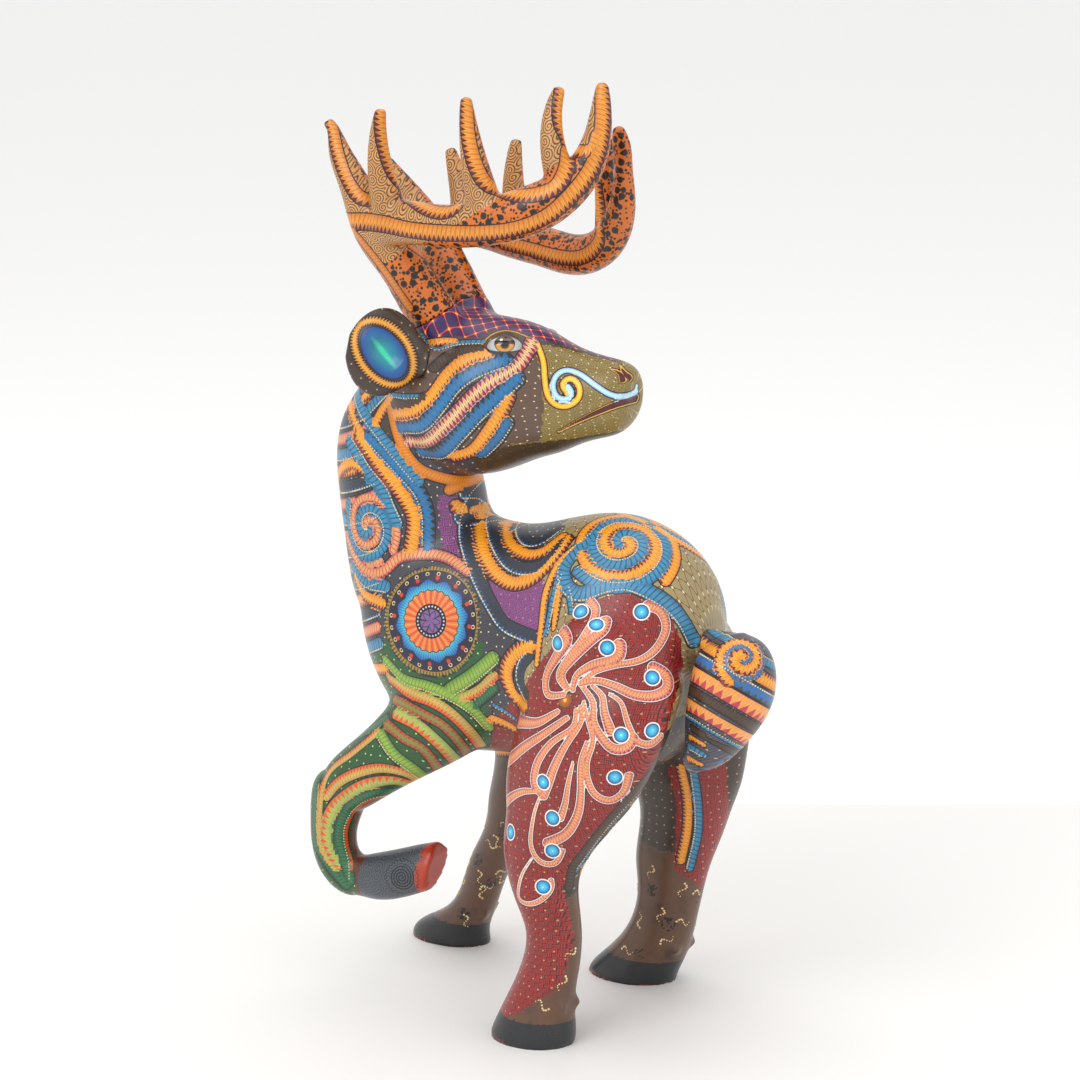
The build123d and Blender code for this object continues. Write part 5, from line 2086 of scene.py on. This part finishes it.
def build_stage():
    """A wide pale floor, a little darker behind the table's edge."""
    made = bmesh.new()
    back = Vector((-TOWARD_VIEWER[0], -TOWARD_VIEWER[1], 0)).normalized()
    side = Vector(ACROSS)
    rows = []
    for along in (-14.0, TABLE_EDGE, 14.0):
        rows.append([made.verts.new(back * along + side * s * 14.0) for s in (-1, 1)])
    for a, b in zip(rows, rows[1:]):
        made.faces.new((a[0], a[1], b[1], b[0]))
    floor = finished(made, "floor")
    floor.data.materials.append(plain_material("table_white", paint("F6F5F3"), 0.6))
    floor.data.materials.append(plain_material("wall_white", paint("FFFFFF"), 0.8))
    for face in floor.data.polygons:
        face.material_index = int(face.center.dot(back) > TABLE_EDGE)


TABLE_EDGE = 0.42


def light(name, energy, size, place, aim=(0, 0, 0.32), colour=(1, 1, 1)):
    data = bpy.data.lights.new(name, "AREA")
    data.energy = energy
    data.size = size
    data.color = colour
    lamp = bpy.data.objects.new(name, data)
    bpy.context.scene.collection.objects.link(lamp)
    lamp.location = place
    lamp.rotation_euler = (Vector(aim) - Vector(place)).to_track_quat("-Z", "Y").to_euler()


def build_lights():
    world = bpy.data.worlds.new("room")
    world.use_nodes = True
    world.node_tree.nodes["Background"].inputs[0].default_value = (1.0, 0.995, 0.99, 1.0)
    world.node_tree.nodes["Background"].inputs[1].default_value = 0.88
    bpy.context.scene.world = world
    toward = Vector(TOWARD_VIEWER)
    side = Vector(ACROSS)
    light("key", 20.0, 1.4, toward * 1.6 - side * 1.3 + Vector((0, 0, 1.5)))
    light("fill", 6.0, 2.0, toward * 1.6 + side * 1.8 + Vector((0, 0, 0.7)))
    light("over", 8.0, 1.6, Vector((0, 0, 2.2)) - toward * 0.3)


def build_camera():
    data = bpy.data.cameras.new("standpoint")
    data.sensor_width = 36.0
    data.lens = 135.4
    camera = bpy.data.objects.new("standpoint", data)
    bpy.context.scene.collection.objects.link(camera)
    camera.location = STANDPOINT * MM
    way = Vector(-TOWARD_VIEWER)
    camera.rotation_euler = way.to_track_quat("-Z", "Y").to_euler()
    bpy.context.scene.camera = camera
    bpy.context.scene.view_settings.view_transform = "Standard"


build_camera()
build_stage()
build_lights()
BEADS = bead_nodes()
BEAD_PAINT = bead_material()
figure_tree, figure_lines = build_figure()
build_antlers()
build_ears()
build_tail()
build_eyes()
copal = dowel_material()
for dowel in DOWELS:
    mesh = frame["nodes"][dowel].data
    mesh.materials.clear()
    mesh.materials.append(copal)
